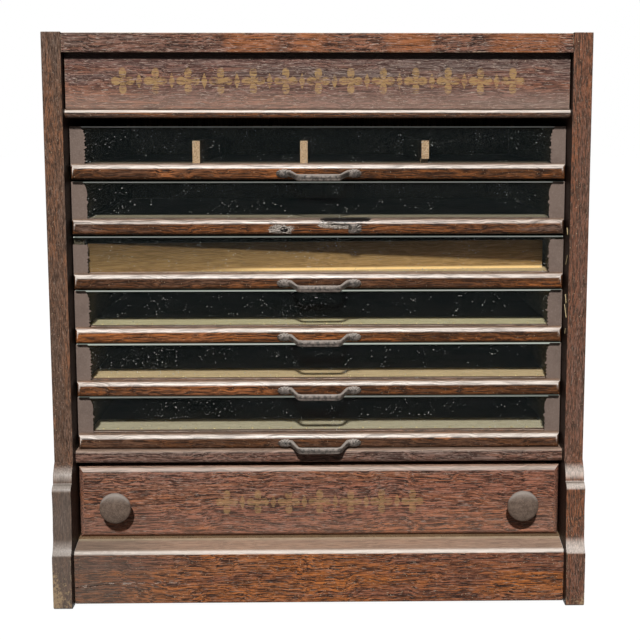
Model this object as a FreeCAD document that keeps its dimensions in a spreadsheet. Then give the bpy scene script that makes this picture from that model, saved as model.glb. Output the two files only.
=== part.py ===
import FreeCAD, Part
import math
import os
import re

import Sketcher
from FreeCAD import Placement, Rotation, Vector

# Oak spool cabinet: six glass-fronted trays over one wooden drawer.
# Millimetres. The origin is on the floor under the middle of the case, +Z is up and +Y is to the back.

SIZES = {
    # Case sides, sawn from one board each, with a scroll above the foot
    "case_width": 572,
    "case_height": 612,
    "panel_depth": 406,
    "panel_thickness": 20.5,
    "foot_projection": 26,
    "foot_height": 57.8,
    "flare_rise": 27,
    "waist_rise": 38.5,
    "round_rise": 11.1,
    "band_rise": 9.8,
    "slope_rise": 12,
    "slope_out": 9,
    "band_out": 1,
    "round_out": 7,
    "waist_out": 1,
    "foot_corner": 3,
    # Boards that join the sides
    "back_thickness": 8,
    "back_lap": 10,
    "back_gap": 0.6,
    "board_lap": 6,
    "top_thickness": 20,
    "top_drop": 1,
    "sign_recess": 9,
    "sign_height": 58,
    "sign_thickness": 12,
    "sign_end_gap": 1.2,
    "moulding_thickness": 9.4,
    "moulding_recess": 8,
    "moulding_depth": 30,
    "moulding_round": 4.2,
    "moulding_gap": 8.8,
    "rail_thickness": 14,
    "rail_recess": 11,
    "rail_depth": 60,
    "rail_round": 3.5,
    "deck_height": 65.4,
    "deck_thickness": 15,
    "base_thickness": 28,
    "base_projection": 14,
    "base_clearance": 1,
    "base_slope_drop": 5.5,
    "base_round_run": 3.5,
    "base_round_rise": 4.5,
    # Glass-fronted trays
    "tray_clearance": 1.5,
    "tray_recess": 16,
    "tray_rear_gap": 22,
    "tray_gap": 3,
    "seat_gap": 0.3,
    "nosing_height": 16.5,
    "nosing_depth": 30,
    "nosing_inset": 1,
    "nosing_top_round": 6,
    "nosing_foot_round": 4,
    "nosing_end_round": 5,
    "pane_set_back": 11,
    "pane_thickness": 3,
    "pane_play": 0.2,
    "pane_groove": 3,
    "floor_thickness": 6,
    "floor_lap": 8,
    "side_thickness": 11,
    "side_drop": 2,
    "joint_depth": 4,
    "joint_play": 0.1,
    "tray_back_thickness": 10,
    "tray_back_inset": 10,
    "tray_back_drop": 2,
    # Runner strips on the case sides, in grooves of the trays
    "runner_height": 8,
    "runner_proud": 5,
    "runner_rise": 26,
    "runner_play": 1,
    "runner_side_play": 0.5,
    "groove_stop": 18,
    # Sheet-metal corner plates that hold the panes
    "plate_thickness": 0.6,
    "plate_reach": 16.6,
    "plate_return": 14,
    "plate_notch": 2.2,
    "plate_shoulder": 3.4,
    "plate_point": 5,
    "torn_left_drop": 8.5,
    "torn_right_drop": 3.6,
    # Partition strips of the top tray
    "divider_thickness": 8,
    "divider_height": 24,
    "divider_left": -131.5,
    "divider_middle": -16,
    "divider_right": 115,
    "divider_set_back": 4,
    "divider_far_set_back": 9,
    "divider_chip_height": 4.5,
    "divider_chip_depth": 16,
    # Loose board in the third tray, standing askew behind the pane
    "loose_thickness": 5,
    "loose_height": 31,
    "loose_left_set_back": 3,
    "loose_right_set_back": 36,
    "loose_end_play": 3,
    # Cast pulls
    "pull_height": 6.2,
    "pull_reach": 20,
    "pull_grip": 17.5,
    "pull_bend": 7,
    "bar_half": 2.6,
    "bar_bevel": 1.5,
    "arm_spread": 1.2,
    "boss_spacing": 37.3,
    "boss_radius": 8.5,
    "boss_height": 4.4,
    "boss_half_height": 4.8,
    "stub_reach": 5.7,
    "crown_radius": 3.4,
    "flute_depth": 1.1,
    "screw_hole_radius": 1.8,
    "screw_hole_depth": 9,
    "tear_start": 3,
    "tear_length": 56,
    "tear_tail_start": 18,
    "tear_tail_end": 30,
    "tear_height": 2.4,
    "tear_depth": 5,
    "tear_lead": 2,
    # Lower drawer
    "lower_play": 2,
    "lower_top_gap": 5.7,
    "lower_front_height": 79.3,
    "lower_front_thickness": 20,
    "lower_bevel": 5.5,
    "lower_lap": 12,
    "lower_side_thickness": 12,
    "lower_side_height": 70,
    "lower_bottom_rise": 8,
    "lower_bottom_thickness": 6,
    "lower_back_thickness": 12,
    "lower_back_drop": 3,
    "lower_back_play": 0.5,
    # Turned knobs and their screws
    "knob_inset": 42.5,
    "knob_radius": 17,
    "knob_projection": 24,
    "knob_neck_radius": 8,
    "knob_neck_length": 12,
    "knob_rim": 4,
    "knob_dome": 3.5,
    "knob_crown": 1.1,
    "knob_crown_radius": 12,
    "knob_screw_radius": 2.2,
    "knob_screw_bite": 13,
    "knob_screw_play": 0.05,
    "screw_head_radius": 4.6,
    "screw_head_thickness": 2.4,
    # Reach of a cutting tool past the face that it enters
    "overrun": 5,
}

TRAYS = 6
BACK_BOARDS = 5
FLUTES = 5
FLUTE_FAN_DEGREES = 30
PULL_BEND_DEGREES = 65
# Radius of each curve as a share of its chord
ROUND_SHARE = 0.66
WAIST_SHARE = 4
FLARE_SHARE = 1.1
SLOPE_ROUND_SHARE = 0.9
LOBE_SHARE = 0.95
LOW_LOBE_SHARE = 2.6
# Height of the point of a corner plate above its foot, as a share of the plate
PLATE_POINT_SHARE = 0.48

WORKED = {
    "front_edge": "foot_projection - (panel_depth + foot_projection) / 2",
    "back_edge": "front_edge + panel_depth",
    "back_inner": "back_edge - back_thickness",
    "lap_plane": "back_edge - back_thickness / 2",
    "inner_half": "case_width / 2 - panel_thickness",
    "inner_width": "2 * inner_half",
    "deck_front": "front_edge - base_projection + base_thickness",
    "lower_underside": "deck_height + seat_gap",
    "rail_top": "lower_underside + lower_front_height + lower_top_gap + rail_thickness",
    "lowest_tray": "rail_top + seat_gap",
    "top_underside": "case_height - top_drop - top_thickness",
    "sign_underside": "top_underside - sign_height",
    "moulding_underside": "sign_underside - moulding_thickness",
    "tray_pitch": f"(moulding_underside - moulding_gap - lowest_tray + tray_gap) / {TRAYS}",
    "pane_rise": "tray_pitch - tray_gap",
    "band_foot": "foot_height + flare_rise + waist_rise + round_rise",
    "scroll_out": "slope_out + band_out + round_out + waist_out",
    "tray_half": "inner_half - tray_clearance",
    "tray_depth": "back_inner - front_edge - tray_recess - tray_rear_gap",
    "side_height": "pane_rise - side_drop",
    "side_inner": "tray_half - side_thickness",
    "groove_front": "pane_set_back - plate_thickness - pane_play",
    "groove_back": "pane_set_back + pane_thickness + pane_play",
    "pane_foot": "nosing_height - pane_groove",
    "floor_underside": "nosing_height - floor_thickness",
    "tray_back_front": "tray_depth - tray_back_inset - tray_back_thickness",
    "runner_groove": "runner_proud - tray_clearance + runner_side_play",
    "plate_height": "pane_rise - pane_foot",
    "lower_half": "inner_half - lower_play",
    "lower_side_front": "deck_front + lower_lap",
    "lower_side_inner": "lower_half - lower_side_thickness",
    "lower_end": "back_inner - lower_back_play",
    "knob_offset": "lower_half - knob_inset",
    "knob_height": "lower_underside + lower_front_height / 2",
}

doc = FreeCAD.newDocument("SpoolCabinet")
home = {}


def fill_sheet(name, cells, lead=""):
    """Spreadsheet with one named cell for each entry."""
    sheet = doc.addObject("Spreadsheet::Sheet", name)
    for row, (alias, content) in enumerate(cells.items(), start=1):
        sheet.set(f"A{row}", alias)
        sheet.set(f"B{row}", lead + full(str(content)))
        sheet.setAlias(f"B{row}", alias)
        home[alias] = name
    return sheet


def full(expression):
    """The expression with each size led by the name of its sheet."""
    return re.sub(r"[a-z][a-z_]+", lambda word: lead_word(word.group()), expression)


def lead_word(word):
    return f"{home[word]}.{word}" if word in home else word


sizes = fill_sheet("sizes", SIZES)
worked = fill_sheet("worked", WORKED, "=")
doc.recompute()


def value(expression):
    """What an expression of named sizes comes to."""
    return float(worked.evalExpression(full(expression)))


def bind(thing, **properties):
    """Bind properties to expressions; a double underscore stands for a dot."""
    for name, expression in properties.items():
        thing.setExpression(name.replace("__", "."), full(expression))


def shift(thing, across="0", back="0", up="0"):
    """Bind the place of a thing to expressions."""
    bind(thing, Placement__Base__x=across, Placement__Base__y=back, Placement__Base__z=up)


def board(name, low, size):
    """Square board from its lowest corner and its size along X, Y and Z."""
    piece = doc.addObject("Part::Box", name)
    bind(piece, Length=size[0], Width=size[1], Height=size[2])
    shift(piece, *low)
    return piece


def cut(name, base, *tools):
    """Base with each tool taken away."""
    for number, tool in enumerate(tools, start=1):
        last = number == len(tools)
        piece = doc.addObject("Part::Cut", name if last else f"{name}_cut_{number}")
        piece.Base = base
        piece.Tool = tool
        base = piece
    return base


def body(name):
    return doc.addObject("PartDesign::Body", name)


def plane(owner, role):
    return next(item for item in owner.Origin.OriginFeatures if item.Role == role)


def sketch(owner, name, role, lift=None):
    """Empty sketch on an origin plane of its body, lifted along the plane's normal."""
    drawing = owner.newObject("Sketcher::SketchObject", name)
    drawing.AttachmentSupport = [(plane(owner, role), "")]
    drawing.MapMode = "FlatFace"
    if lift:
        bind(drawing, AttachmentOffset__Base__z=lift)
    return drawing


def bowed(start, end, radius, side):
    """Counterclockwise arc between two points, to the left of the way from start to end or to its right."""
    chord = end - start
    left = Vector(-chord.y, chord.x, 0).normalize()
    rise = radius - math.sqrt(radius ** 2 - (chord.Length / 2) ** 2)
    middle = (start + end) / 2 + left * side * rise
    return Part.Arc(end, middle, start) if side > 0 else Part.Arc(start, middle, end)


def outline(owner, name, role, corners, bows=None, closed=True, lift=None):
    """Sketch through corners held by expressions.

    bows maps an edge's number to the radius of its arc and the side that it bows to, 1 for left, -1 for right.
    """
    bows = bows or {}
    drawing = sketch(owner, name, role, lift)
    points = [Vector(value(across), value(up), 0) for across, up in corners]
    edges = len(corners) if closed else len(corners) - 1
    ends = []
    for edge in range(edges):
        start = points[edge]
        end = points[(edge + 1) % len(points)]
        if edge in bows:
            radius, side = bows[edge]
            index = drawing.addGeometry(bowed(start, end, value(radius), side))
            hold(drawing, Sketcher.Constraint("Radius", index, value(radius)), f"radius_{edge}", radius)
            ends.append((index, 2, 1) if side > 0 else (index, 1, 2))
        else:
            index = drawing.addGeometry(Part.LineSegment(start, end))
            ends.append((index, 1, 2))
    for edge in range(edges if closed else edges - 1):
        here = ends[edge]
        following = ends[(edge + 1) % edges]
        drawing.addConstraint(Sketcher.Constraint("Coincident", here[0], here[2], following[0], following[1]))
    for corner, spot in enumerate(corners):
        last = corner == edges
        index, position = (ends[-1][0], ends[-1][2]) if last else (ends[corner][0], ends[corner][1])
        for axis, expression in zip("XY", spot):
            constraint = Sketcher.Constraint(
                "Distance" + axis, -1, 1, index, position, value(expression))
            hold(drawing, constraint, f"corner_{corner}_{axis}", expression)
    return drawing


def hold(drawing, constraint, name, expression):
    """Add a constraint whose datum follows an expression."""
    index = drawing.addConstraint(constraint)
    drawing.renameConstraint(index, name)
    drawing.setExpression(f"Constraints.{name}", full(expression))


def box_outline(owner, name, role, low, high, lift=None):
    """Rectangle between two opposite corners."""
    corners = [low, (high[0], low[1]), high, (low[0], high[1])]
    return outline(owner, name, role, corners, lift=lift)


def pad(owner, drawing, name, length, symmetric=False, backward=False):
    feature = owner.newObject("PartDesign::Pad", name)
    feature.Profile = drawing
    feature.SideType = "Symmetric" if symmetric else "One side"
    feature.Reversed = backward
    bind(feature, Length=length)
    return feature


def pocket(owner, drawing, name, length, symmetric=False, backward=False):
    feature = owner.newObject("PartDesign::Pocket", name)
    feature.Profile = drawing
    feature.SideType = "Symmetric" if symmetric else "One side"
    feature.Reversed = backward
    bind(feature, Length=length)
    return feature


def turned(owner, drawing, name):
    """Solid turned about the sketch's horizontal axis."""
    feature = owner.newObject("PartDesign::Revolution", name)
    feature.Profile = drawing
    feature.ReferenceAxis = (drawing, ["H_Axis"])
    feature.Angle = 360
    return feature


def edges_where(feature, wanted):
    """Names of the edges whose middle point passes a test."""
    doc.recompute()
    found = []
    for number, edge in enumerate(feature.Shape.Edges, start=1):
        if wanted(edge.CenterOfMass):
            found.append(f"Edge{number}")
    return found


def mirrored(name, source):
    """The source's twin across the middle plane of the case."""
    twin = doc.addObject("Part::Mirroring", name)
    twin.Source = source
    twin.Normal = Vector(1, 0, 0)
    return twin


def gathered(name, *links):
    """Separate solids kept together under one name."""
    group = doc.addObject("Part::Compound", name)
    group.Links = list(links)
    return group


nodes = []


def keep(piece, name):
    """Mark a finished sub-part and give it its own label."""
    piece.Label = name
    nodes.append(piece)
    return piece


# Side panels: straight above, a sawn scroll and a projecting foot below, a rabbet for the back boards
side_panel = body("side_panel")
scroll = outline(side_panel, "scroll", "YZ_Plane", [
    ("front_edge", "case_height"),
    ("front_edge", "band_foot + band_rise + slope_rise"),
    ("front_edge - slope_out", "band_foot + band_rise"),
    ("front_edge - slope_out - band_out", "band_foot"),
    ("front_edge - scroll_out + waist_out", "band_foot - round_rise"),
    ("front_edge - scroll_out", "foot_height + flare_rise"),
    ("front_edge - foot_projection", "foot_height"),
    ("front_edge - foot_projection", "foot_corner"),
    ("front_edge - foot_projection + foot_corner", "0"),
    ("back_edge", "0"),
    ("back_edge", "case_height"),
], {
    3: (f"sqrt(round_out ^ 2 + round_rise ^ 2) * {ROUND_SHARE}", -1),
    4: (f"sqrt(waist_out ^ 2 + waist_rise ^ 2) * {WAIST_SHARE}", 1),
    5: (f"sqrt((foot_projection - scroll_out) ^ 2 + flare_rise ^ 2) * {FLARE_SHARE}", 1),
    7: ("foot_corner", -1),
})
pad(side_panel, scroll, "panel_board", "panel_thickness")
rabbet = box_outline(
    side_panel, "rabbet", "YZ_Plane", ("back_inner", "-overrun"),
    ("back_edge + overrun", "case_height + overrun"), lift="panel_thickness - back_lap")
pocket(side_panel, rabbet, "back_rabbet", "back_lap + overrun", backward=True)
shift(side_panel, "-case_width / 2")
keep(side_panel, "side_panel_left")
keep(mirrored("side_panel_twin", side_panel), "side_panel_right")

# Top board, flush with the front edges of the sides
keep(board(
    "top_board", ("-inner_half", "front_edge", "top_underside"),
    ("inner_width", "back_inner - front_edge", "top_thickness")), "top_board")

# Sign board, set back under the top
keep(board(
    "sign_board", ("-inner_half + sign_end_gap", "front_edge + sign_recess", "sign_underside"),
    ("inner_width - 2 * sign_end_gap", "sign_thickness", "sign_height")), "sign_board")


def front_rail(name, front, depth, low, thickness, corner, length):
    """Rail across the front with both front arrises rounded."""
    rail = body(name)
    profile = outline(rail, f"{name}_profile", "YZ_Plane", [
        (f"{front}", f"{low} + {corner}"),
        (f"{front} + {corner}", f"{low}"),
        (f"{front} + {depth}", f"{low}"),
        (f"{front} + {depth}", f"{low} + {thickness}"),
        (f"{front} + {corner}", f"{low} + {thickness}"),
        (f"{front}", f"{low} + {thickness} - {corner}"),
    ], {0: (corner, -1), 4: (corner, -1)})
    pad(rail, profile, f"{name}_bar", length, symmetric=True)
    return keep(rail, name)


# Bullnose strip under the sign board, and the rail between the trays and the lower drawer
front_rail(
    "sign_moulding", "front_edge + moulding_recess", "moulding_depth", "moulding_underside",
    "moulding_thickness", "moulding_round", "inner_width")
front_rail(
    "drawer_rail", "front_edge + rail_recess", "rail_depth", "rail_top - rail_thickness",
    "rail_thickness", "rail_round", "inner_width")

# Base board with a weathered top that slopes to a rounded arris
base_board = body("base_board")
base_profile = outline(base_board, "base_profile", "YZ_Plane", [
    ("front_edge - base_projection", "base_clearance"),
    ("deck_front", "base_clearance"),
    ("deck_front", "deck_height"),
    ("front_edge - base_projection + base_round_run", "deck_height - base_slope_drop"),
    ("front_edge - base_projection", "deck_height - base_slope_drop - base_round_rise"),
], {3: (f"sqrt(base_round_run ^ 2 + base_round_rise ^ 2) * {SLOPE_ROUND_SHARE}", -1)})
pad(base_board, base_profile, "base_plank", "inner_width", symmetric=True)
keep(base_board, "base_board")

# Deck that carries the lower drawer
keep(board(
    "case_floor", ("-inner_half", "deck_front", "deck_height - deck_thickness"),
    ("inner_width", "back_inner - deck_front", "deck_thickness")), "case_floor")

# Upright boards nailed into the rabbets at the back, each half-lapped over its neighbour
back_span = f"(inner_width + 2 * back_lap - {BACK_BOARDS + 1} * back_gap) / {BACK_BOARDS}"
back_planks = []
for plank in range(BACK_BOARDS):
    left = f"-inner_half - back_lap + back_gap + {plank} * ({back_span} + back_gap)"
    right = f"{left} + {back_span}"
    tongue = [
        (right, "lap_plane + joint_play"), (f"{right} + board_lap", "lap_plane + joint_play"),
        (f"{right} + board_lap", "back_edge")]
    rebate = [(f"{left} + board_lap", "back_edge"), (f"{left} + board_lap", "lap_plane"), (left, "lap_plane")]
    right_edge = [(right, "back_edge")] if plank == BACK_BOARDS - 1 else tongue
    left_edge = [(left, "back_edge")] if plank == 0 else rebate
    timber = body(f"back_plank_{plank + 1}")
    section = outline(
        timber, f"plank_section_{plank + 1}", "XY_Plane",
        [(left, "back_inner"), (right, "back_inner")] + right_edge + left_edge, lift="base_clearance")
    pad(timber, section, f"plank_{plank + 1}", "case_height - top_drop - base_clearance")
    back_planks.append(timber)
keep(gathered("back_boards", *back_planks), "back_boards")

# Runner strips glued to the sides; the front end of each stops its tray
runner_strips = []
for step in range(TRAYS):
    strip = board(
        f"runner_{step + 1}",
        ("-inner_half", "front_edge + tray_recess + groove_back + groove_stop + seat_gap",
         f"lowest_tray + {step} * tray_pitch + runner_rise"),
        ("runner_proud",
         "back_inner - front_edge - tray_recess - groove_back - groove_stop - seat_gap",
         "runner_height"))
    runner_strips += [strip, mirrored(f"runner_twin_{step + 1}", strip)]
keep(gathered("runners", *runner_strips), "runners")

# Tray nosing: bullnose front, groove for the pane, rabbet for the floor, ends notched round the sides
nosing = body("nosing")
nosing_profile = outline(nosing, "nosing_profile", "YZ_Plane", [
    ("0", "nosing_foot_round"),
    ("nosing_foot_round", "0"),
    ("nosing_depth", "0"),
    ("nosing_depth", "floor_underside"),
    ("nosing_depth - floor_lap", "floor_underside"),
    ("nosing_depth - floor_lap", "nosing_height"),
    ("groove_back", "nosing_height"),
    ("groove_back", "pane_foot"),
    ("groove_front", "pane_foot"),
    ("groove_front", "nosing_height"),
    ("nosing_top_round", "nosing_height"),
    ("0", "nosing_height - nosing_top_round"),
], {0: ("nosing_foot_round", -1), 10: ("nosing_top_round", -1)})
nosing_bar = pad(nosing, nosing_profile, "nosing_bar", "2 * (tray_half - nosing_inset)", symmetric=True)
for side in ("-", ""):
    label = "left" if side else "right"
    low, high = ("-tray_half - overrun", "-side_inner") if side else ("side_inner", "tray_half + overrun")
    notch = box_outline(
        nosing, f"nosing_notch_{label}", "XY_Plane", (low, "groove_back"), (high, "nosing_depth + overrun"))
    pocket(nosing, notch, f"notch_{label}", "2 * (nosing_height + overrun)", symmetric=True)
for side, bow in (("-", 1), ("", -1)):
    label = "left" if side else "right"
    waste = outline(nosing, f"end_waste_{label}", "XY_Plane", [
        (f"{side}(tray_half - nosing_inset - nosing_end_round)", "0"),
        (f"{side}(tray_half - nosing_inset)", "nosing_end_round"),
        (f"{side}(tray_half + overrun)", "nosing_end_round"),
        (f"{side}(tray_half + overrun)", "-overrun"),
        (f"{side}(tray_half - nosing_inset - nosing_end_round)", "-overrun"),
    ], {0: ("nosing_end_round", bow)})
    pocket(nosing, waste, f"end_round_{label}", "2 * (nosing_height + overrun)", symmetric=True)

# Tray side: groove outside for the runner, stopped at the front, and grooves inside for floor and back
tray_side = body("tray_side")
side_face = box_outline(
    tray_side, "side_face", "YZ_Plane", ("groove_back", "0"), ("tray_depth", "side_height"))
pad(tray_side, side_face, "side_board", "side_thickness")
runner_way = box_outline(
    tray_side, "runner_way", "YZ_Plane", ("groove_back + groove_stop", "runner_rise - runner_play"),
    ("tray_depth + overrun", "runner_rise + runner_height + seat_gap"))
pocket(tray_side, runner_way, "runner_groove_cut", "runner_groove", backward=True)
floor_way = box_outline(
    tray_side, "floor_way", "YZ_Plane", ("groove_back - overrun", "floor_underside - joint_play"),
    ("tray_depth + overrun", "nosing_height"), lift="side_thickness - joint_depth")
pocket(tray_side, floor_way, "floor_groove_cut", "joint_depth + overrun", backward=True)
back_way = box_outline(
    tray_side, "back_way", "YZ_Plane", ("tray_back_front", "nosing_height"),
    ("tray_back_front + tray_back_thickness", "side_height + overrun"), lift="side_thickness - joint_depth")
pocket(tray_side, back_way, "back_groove_cut", "joint_depth + overrun", backward=True)
shift(tray_side, "-tray_half")
tray_side_twin = mirrored("tray_side_twin", tray_side)

# Tray floor, in the nosing's rabbet and the grooves of the sides, and the back that stands on it
floor_sheet = board(
    "floor_sheet", ("-side_inner - joint_depth + joint_play", "nosing_depth - floor_lap", "floor_underside"),
    ("2 * (side_inner + joint_depth - joint_play)", "tray_depth - nosing_depth + floor_lap",
     "floor_thickness"))
tray_back = board(
    "tray_back_board", ("-side_inner - joint_depth + joint_play", "tray_back_front", "nosing_height"),
    ("2 * (side_inner + joint_depth - joint_play)", "tray_back_thickness",
     "side_height - tray_back_drop - nosing_height"))

# Glass pane
pane = board(
    "pane", ("-tray_half", "pane_set_back", "pane_foot"), ("2 * tray_half", "pane_thickness", "plate_height"))

# Corner plate: a leaf with a bracket-shaped inner edge over the end of the pane, and a return on the side
plate = body("corner_plate")
leaf_edge = "-tray_half - plate_thickness + plate_reach"
point_up = f"pane_foot + plate_height * {PLATE_POINT_SHARE}"
leaf = outline(plate, "leaf_outline", "XZ_Plane", [
    ("-tray_half - plate_thickness", "pane_foot"),
    (f"{leaf_edge} - plate_notch", "pane_foot"),
    (f"{leaf_edge} - plate_notch", f"{point_up} - plate_point / 2"),
    (leaf_edge, point_up),
    (f"{leaf_edge} - plate_notch", f"{point_up} + plate_point / 2"),
    (f"{leaf_edge} - plate_notch - plate_shoulder", "pane_rise"),
    ("-tray_half - plate_thickness", "pane_rise"),
], {
    1: (f"(plate_height * {PLATE_POINT_SHARE} - plate_point / 2) * {LOW_LOBE_SHARE}", -1),
    4: (f"sqrt((pane_rise - {point_up} - plate_point / 2) ^ 2 + plate_shoulder ^ 2) * {LOBE_SHARE}", -1),
}, lift="-pane_set_back")
pad(plate, leaf, "leaf", "plate_thickness")
plate_return = box_outline(
    plate, "return_outline", "XY_Plane", ("-tray_half - plate_thickness", "pane_set_back - plate_thickness"),
    ("-tray_half", "pane_set_back + plate_return"), lift="pane_foot")
pad(plate, plate_return, "return_leaf", "plate_height")
plate_twin = mirrored("corner_plate_twin", plate)


def torn(name, source, side, drop):
    """Corner plate whose front leaf has lost a strip from its top."""
    low = "-tray_half" if side < 0 else "tray_half - plate_reach"
    strip = board(
        f"{name}_strip", (low, "pane_set_back - plate_thickness - overrun", f"pane_rise - {drop}"),
        ("plate_reach", "plate_thickness + overrun", f"{drop} + overrun"))
    return cut(name, source, strip)


torn_plates = [
    torn("torn_plate_left", plate, -1, "torn_left_drop"),
    torn("torn_plate_right", plate_twin, 1, "torn_right_drop"),
]

# Cast pull: an eight-sided bar with two bends, its arms widened towards the face, and fluted bosses
pull_bar = body("pull_bar")
bend_foot = "pull_bend - pull_reach"


def on_bend(radius):
    """Where an arc about the centre of the right-hand bend ends, at the start of the arm."""
    return (f"pull_grip + ({radius}) * sin({PULL_BEND_DEGREES} deg)",
            f"{bend_foot} - ({radius}) * cos({PULL_BEND_DEGREES} deg)")


def arm_foot(radius, spread):
    """Where a side of the arm meets the face."""
    across, back = on_bend(radius)
    return (f"{across} - ({back}) / tan({PULL_BEND_DEGREES} deg) + {spread}", "0")


inner_bend = "pull_bend - bar_half"
outer_bend = "pull_bend + bar_half"
right_half = [
    arm_foot(inner_bend, "-arm_spread"),
    on_bend(inner_bend),
    ("pull_grip", "bar_half - pull_reach"),
    ("pull_grip", "-bar_half - pull_reach"),
    on_bend(outer_bend),
    arm_foot(outer_bend, "arm_spread"),
]
inner_side = right_half[:3]
outer_side = right_half[3:]
left_inner, left_outer = [
    [(f"-({across})", back) for across, back in reversed(side)] for side in (inner_side, outer_side)]
bar_plan = outline(
    pull_bar, "bar_plan", "XY_Plane", inner_side + left_inner + left_outer + outer_side,
    {1: (inner_bend, 1), 3: (inner_bend, 1), 7: (outer_bend, -1), 9: (outer_bend, -1)})
bar_pad = pad(pull_bar, bar_plan, "bar_pad", "2 * bar_half", symmetric=True)
long_edges = edges_where(bar_pad, lambda spot: (
    abs(spot.z) > value("bar_half - bar_bevel") and spot.y < -value("bar_bevel")))
bar_bevels = pull_bar.newObject("PartDesign::Chamfer", "bar_bevels")
bar_bevels.Base = (bar_pad, long_edges)
bind(bar_bevels, Size="bar_bevel")


def flute_cutters():
    """Square bars, one arris down, fanned over the flank of a boss from its crown outwards."""
    size = value("flute_depth") * 2
    reach = value("boss_radius") + value("overrun")
    tilt = math.degrees(math.atan2(value("boss_height"), value("boss_radius - crown_radius")))
    cutters = []
    for index in range(FLUTES):
        turn = (index - (FLUTES - 1) / 2) * FLUTE_FAN_DEGREES
        bar = Part.makeBox(reach, size, size)
        bar.rotate(Vector(0, 0, 0), Vector(1, 0, 0), 45)
        bar.rotate(Vector(0, 0, 0), Vector(0, 1, 0), tilt)
        bar.translate(Vector(value("crown_radius"), 0, value("boss_height - flute_depth")))
        bar.rotate(Vector(0, 0, 0), Vector(0, 0, 1), turn)
        bar.rotate(Vector(0, 0, 0), Vector(1, 0, 0), 90)
        bar.translate(Vector(value("boss_spacing"), 0, 0))
        cutters.append(bar)
    return cutters[0].multiFuse(cutters[1:])


hub = doc.addObject("Part::Cone", "hub")
hub.Placement = Placement(Vector(0, 0, 0), Rotation(Vector(1, 0, 0), 90))
bind(hub, Radius1="boss_radius", Radius2="crown_radius", Height="boss_height")
shift(hub, "boss_spacing")
trim = board(
    "trim", ("boss_spacing - boss_radius - overrun", "-boss_height - overrun", "-boss_half_height"),
    ("2 * (boss_radius + overrun)", "boss_height + overrun", "2 * boss_half_height"))
cap = doc.addObject("Part::Common", "cap")
cap.Base = hub
cap.Tool = trim
flutes = doc.addObject("Part::Feature", "flutes")
flutes.Shape = flute_cutters()
boss = cut("boss", cap, flutes)
pull = doc.addObject("Part::MultiFuse", "pull")
pull.Shapes = [pull_bar, boss, mirrored("boss_twin", boss)]

# What is left of the broken pull: one boss, snapped off at its arm
snap = board(
    "snap", ("boss_spacing - boss_radius - overrun", "-boss_height - overrun", "-boss_half_height - overrun"),
    ("overrun + boss_radius - stub_reach", "boss_height + 2 * overrun", "2 * (boss_half_height + overrun)"))
pull_stub = cut("pull_stub", boss, snap)

# Nosing of the broken pull's tray: an empty screw hole and a split along the grain
screw_hole = doc.addObject("Part::Cylinder", "screw_hole")
bind(screw_hole, Radius="screw_hole_radius", Height="screw_hole_depth + overrun")
screw_hole.Placement = Placement(Vector(0, 0, 0), Rotation(Vector(1, 0, 0), -90))
shift(screw_hole, "-boss_spacing", "-overrun", "pull_height")
split = doc.addObject("Part::Wedge", "split")
bind(
    split, Xmin="0", Xmax="tear_length", X2min="tear_tail_start", X2max="tear_tail_end",
    Ymin="0", Ymax="tear_depth + tear_lead", Zmin="0", Zmax="tear_height",
    Z2min="tear_height / 2", Z2max="tear_height / 2")
shift(split, "tear_start", "-tear_lead", "nosing_height - nosing_top_round - tear_height / 2")
broken_nosing = cut("broken_nosing", nosing, screw_hole, split)

# Partition strips of the top tray
divider_strips = []
for place in ("left", "middle", "right"):
    front = "pane_set_back + pane_thickness + " + (
        "divider_far_set_back" if place == "right" else "divider_set_back")
    divider_strips.append(board(
        f"divider_{place}_strip", (f"divider_{place} - divider_thickness / 2", front, "nosing_height"),
        ("divider_thickness", f"tray_back_front - ({front})", "divider_height")))
chip = board(
    "divider_chip",
    ("divider_right - divider_thickness / 2 - overrun", "0", "nosing_height - overrun"),
    ("divider_thickness + 2 * overrun",
     "pane_set_back + pane_thickness + divider_far_set_back + divider_chip_depth",
     "divider_chip_height + overrun"))
divider_strips[-1] = cut("chipped_divider", divider_strips[-1], chip)

# Loose board of the third tray, nearer to the pane at its left end than at its right
loose_board = doc.addObject("Part::Box", "loose_board")
loose_turn = "atan2(loose_right_set_back - loose_left_set_back; 2 * side_inner)"
bind(
    loose_board, Length="2 * (side_inner - loose_end_play)", Width="loose_thickness", Height="loose_height",
    Placement__Rotation__Angle=loose_turn)
shift(loose_board, "loose_end_play - side_inner", "pane_set_back + pane_thickness + loose_left_set_back",
      "nosing_height")


def tray_node(number, name, *links, up="0"):
    """Copy of a tray's piece in its place in the stack; tray 1 is the top one."""
    piece = gathered(f"tray_{number}_{name}", *links)
    shift(piece, "0", "front_edge + tray_recess", f"lowest_tray + {TRAYS - number} * tray_pitch + {up}")
    return keep(piece, f"tray_{number}_{name}")


for number in range(1, TRAYS + 1):
    broken = number == 2
    tray_node(number, "nosing", broken_nosing if broken else nosing)
    tray_node(number, "glass", pane)
    tray_node(number, "corner_plates", *(torn_plates if number == 3 else [plate, plate_twin]))
    tray_node(number, "sides", tray_side, tray_side_twin)
    tray_node(number, "back", tray_back)
    tray_node(number, "floor", floor_sheet)
    tray_node(number, "pull", pull_stub if broken else pull, up="pull_height")
tray_node(1, "dividers", *divider_strips)
tray_node(3, "loose_board", loose_board)

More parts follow.
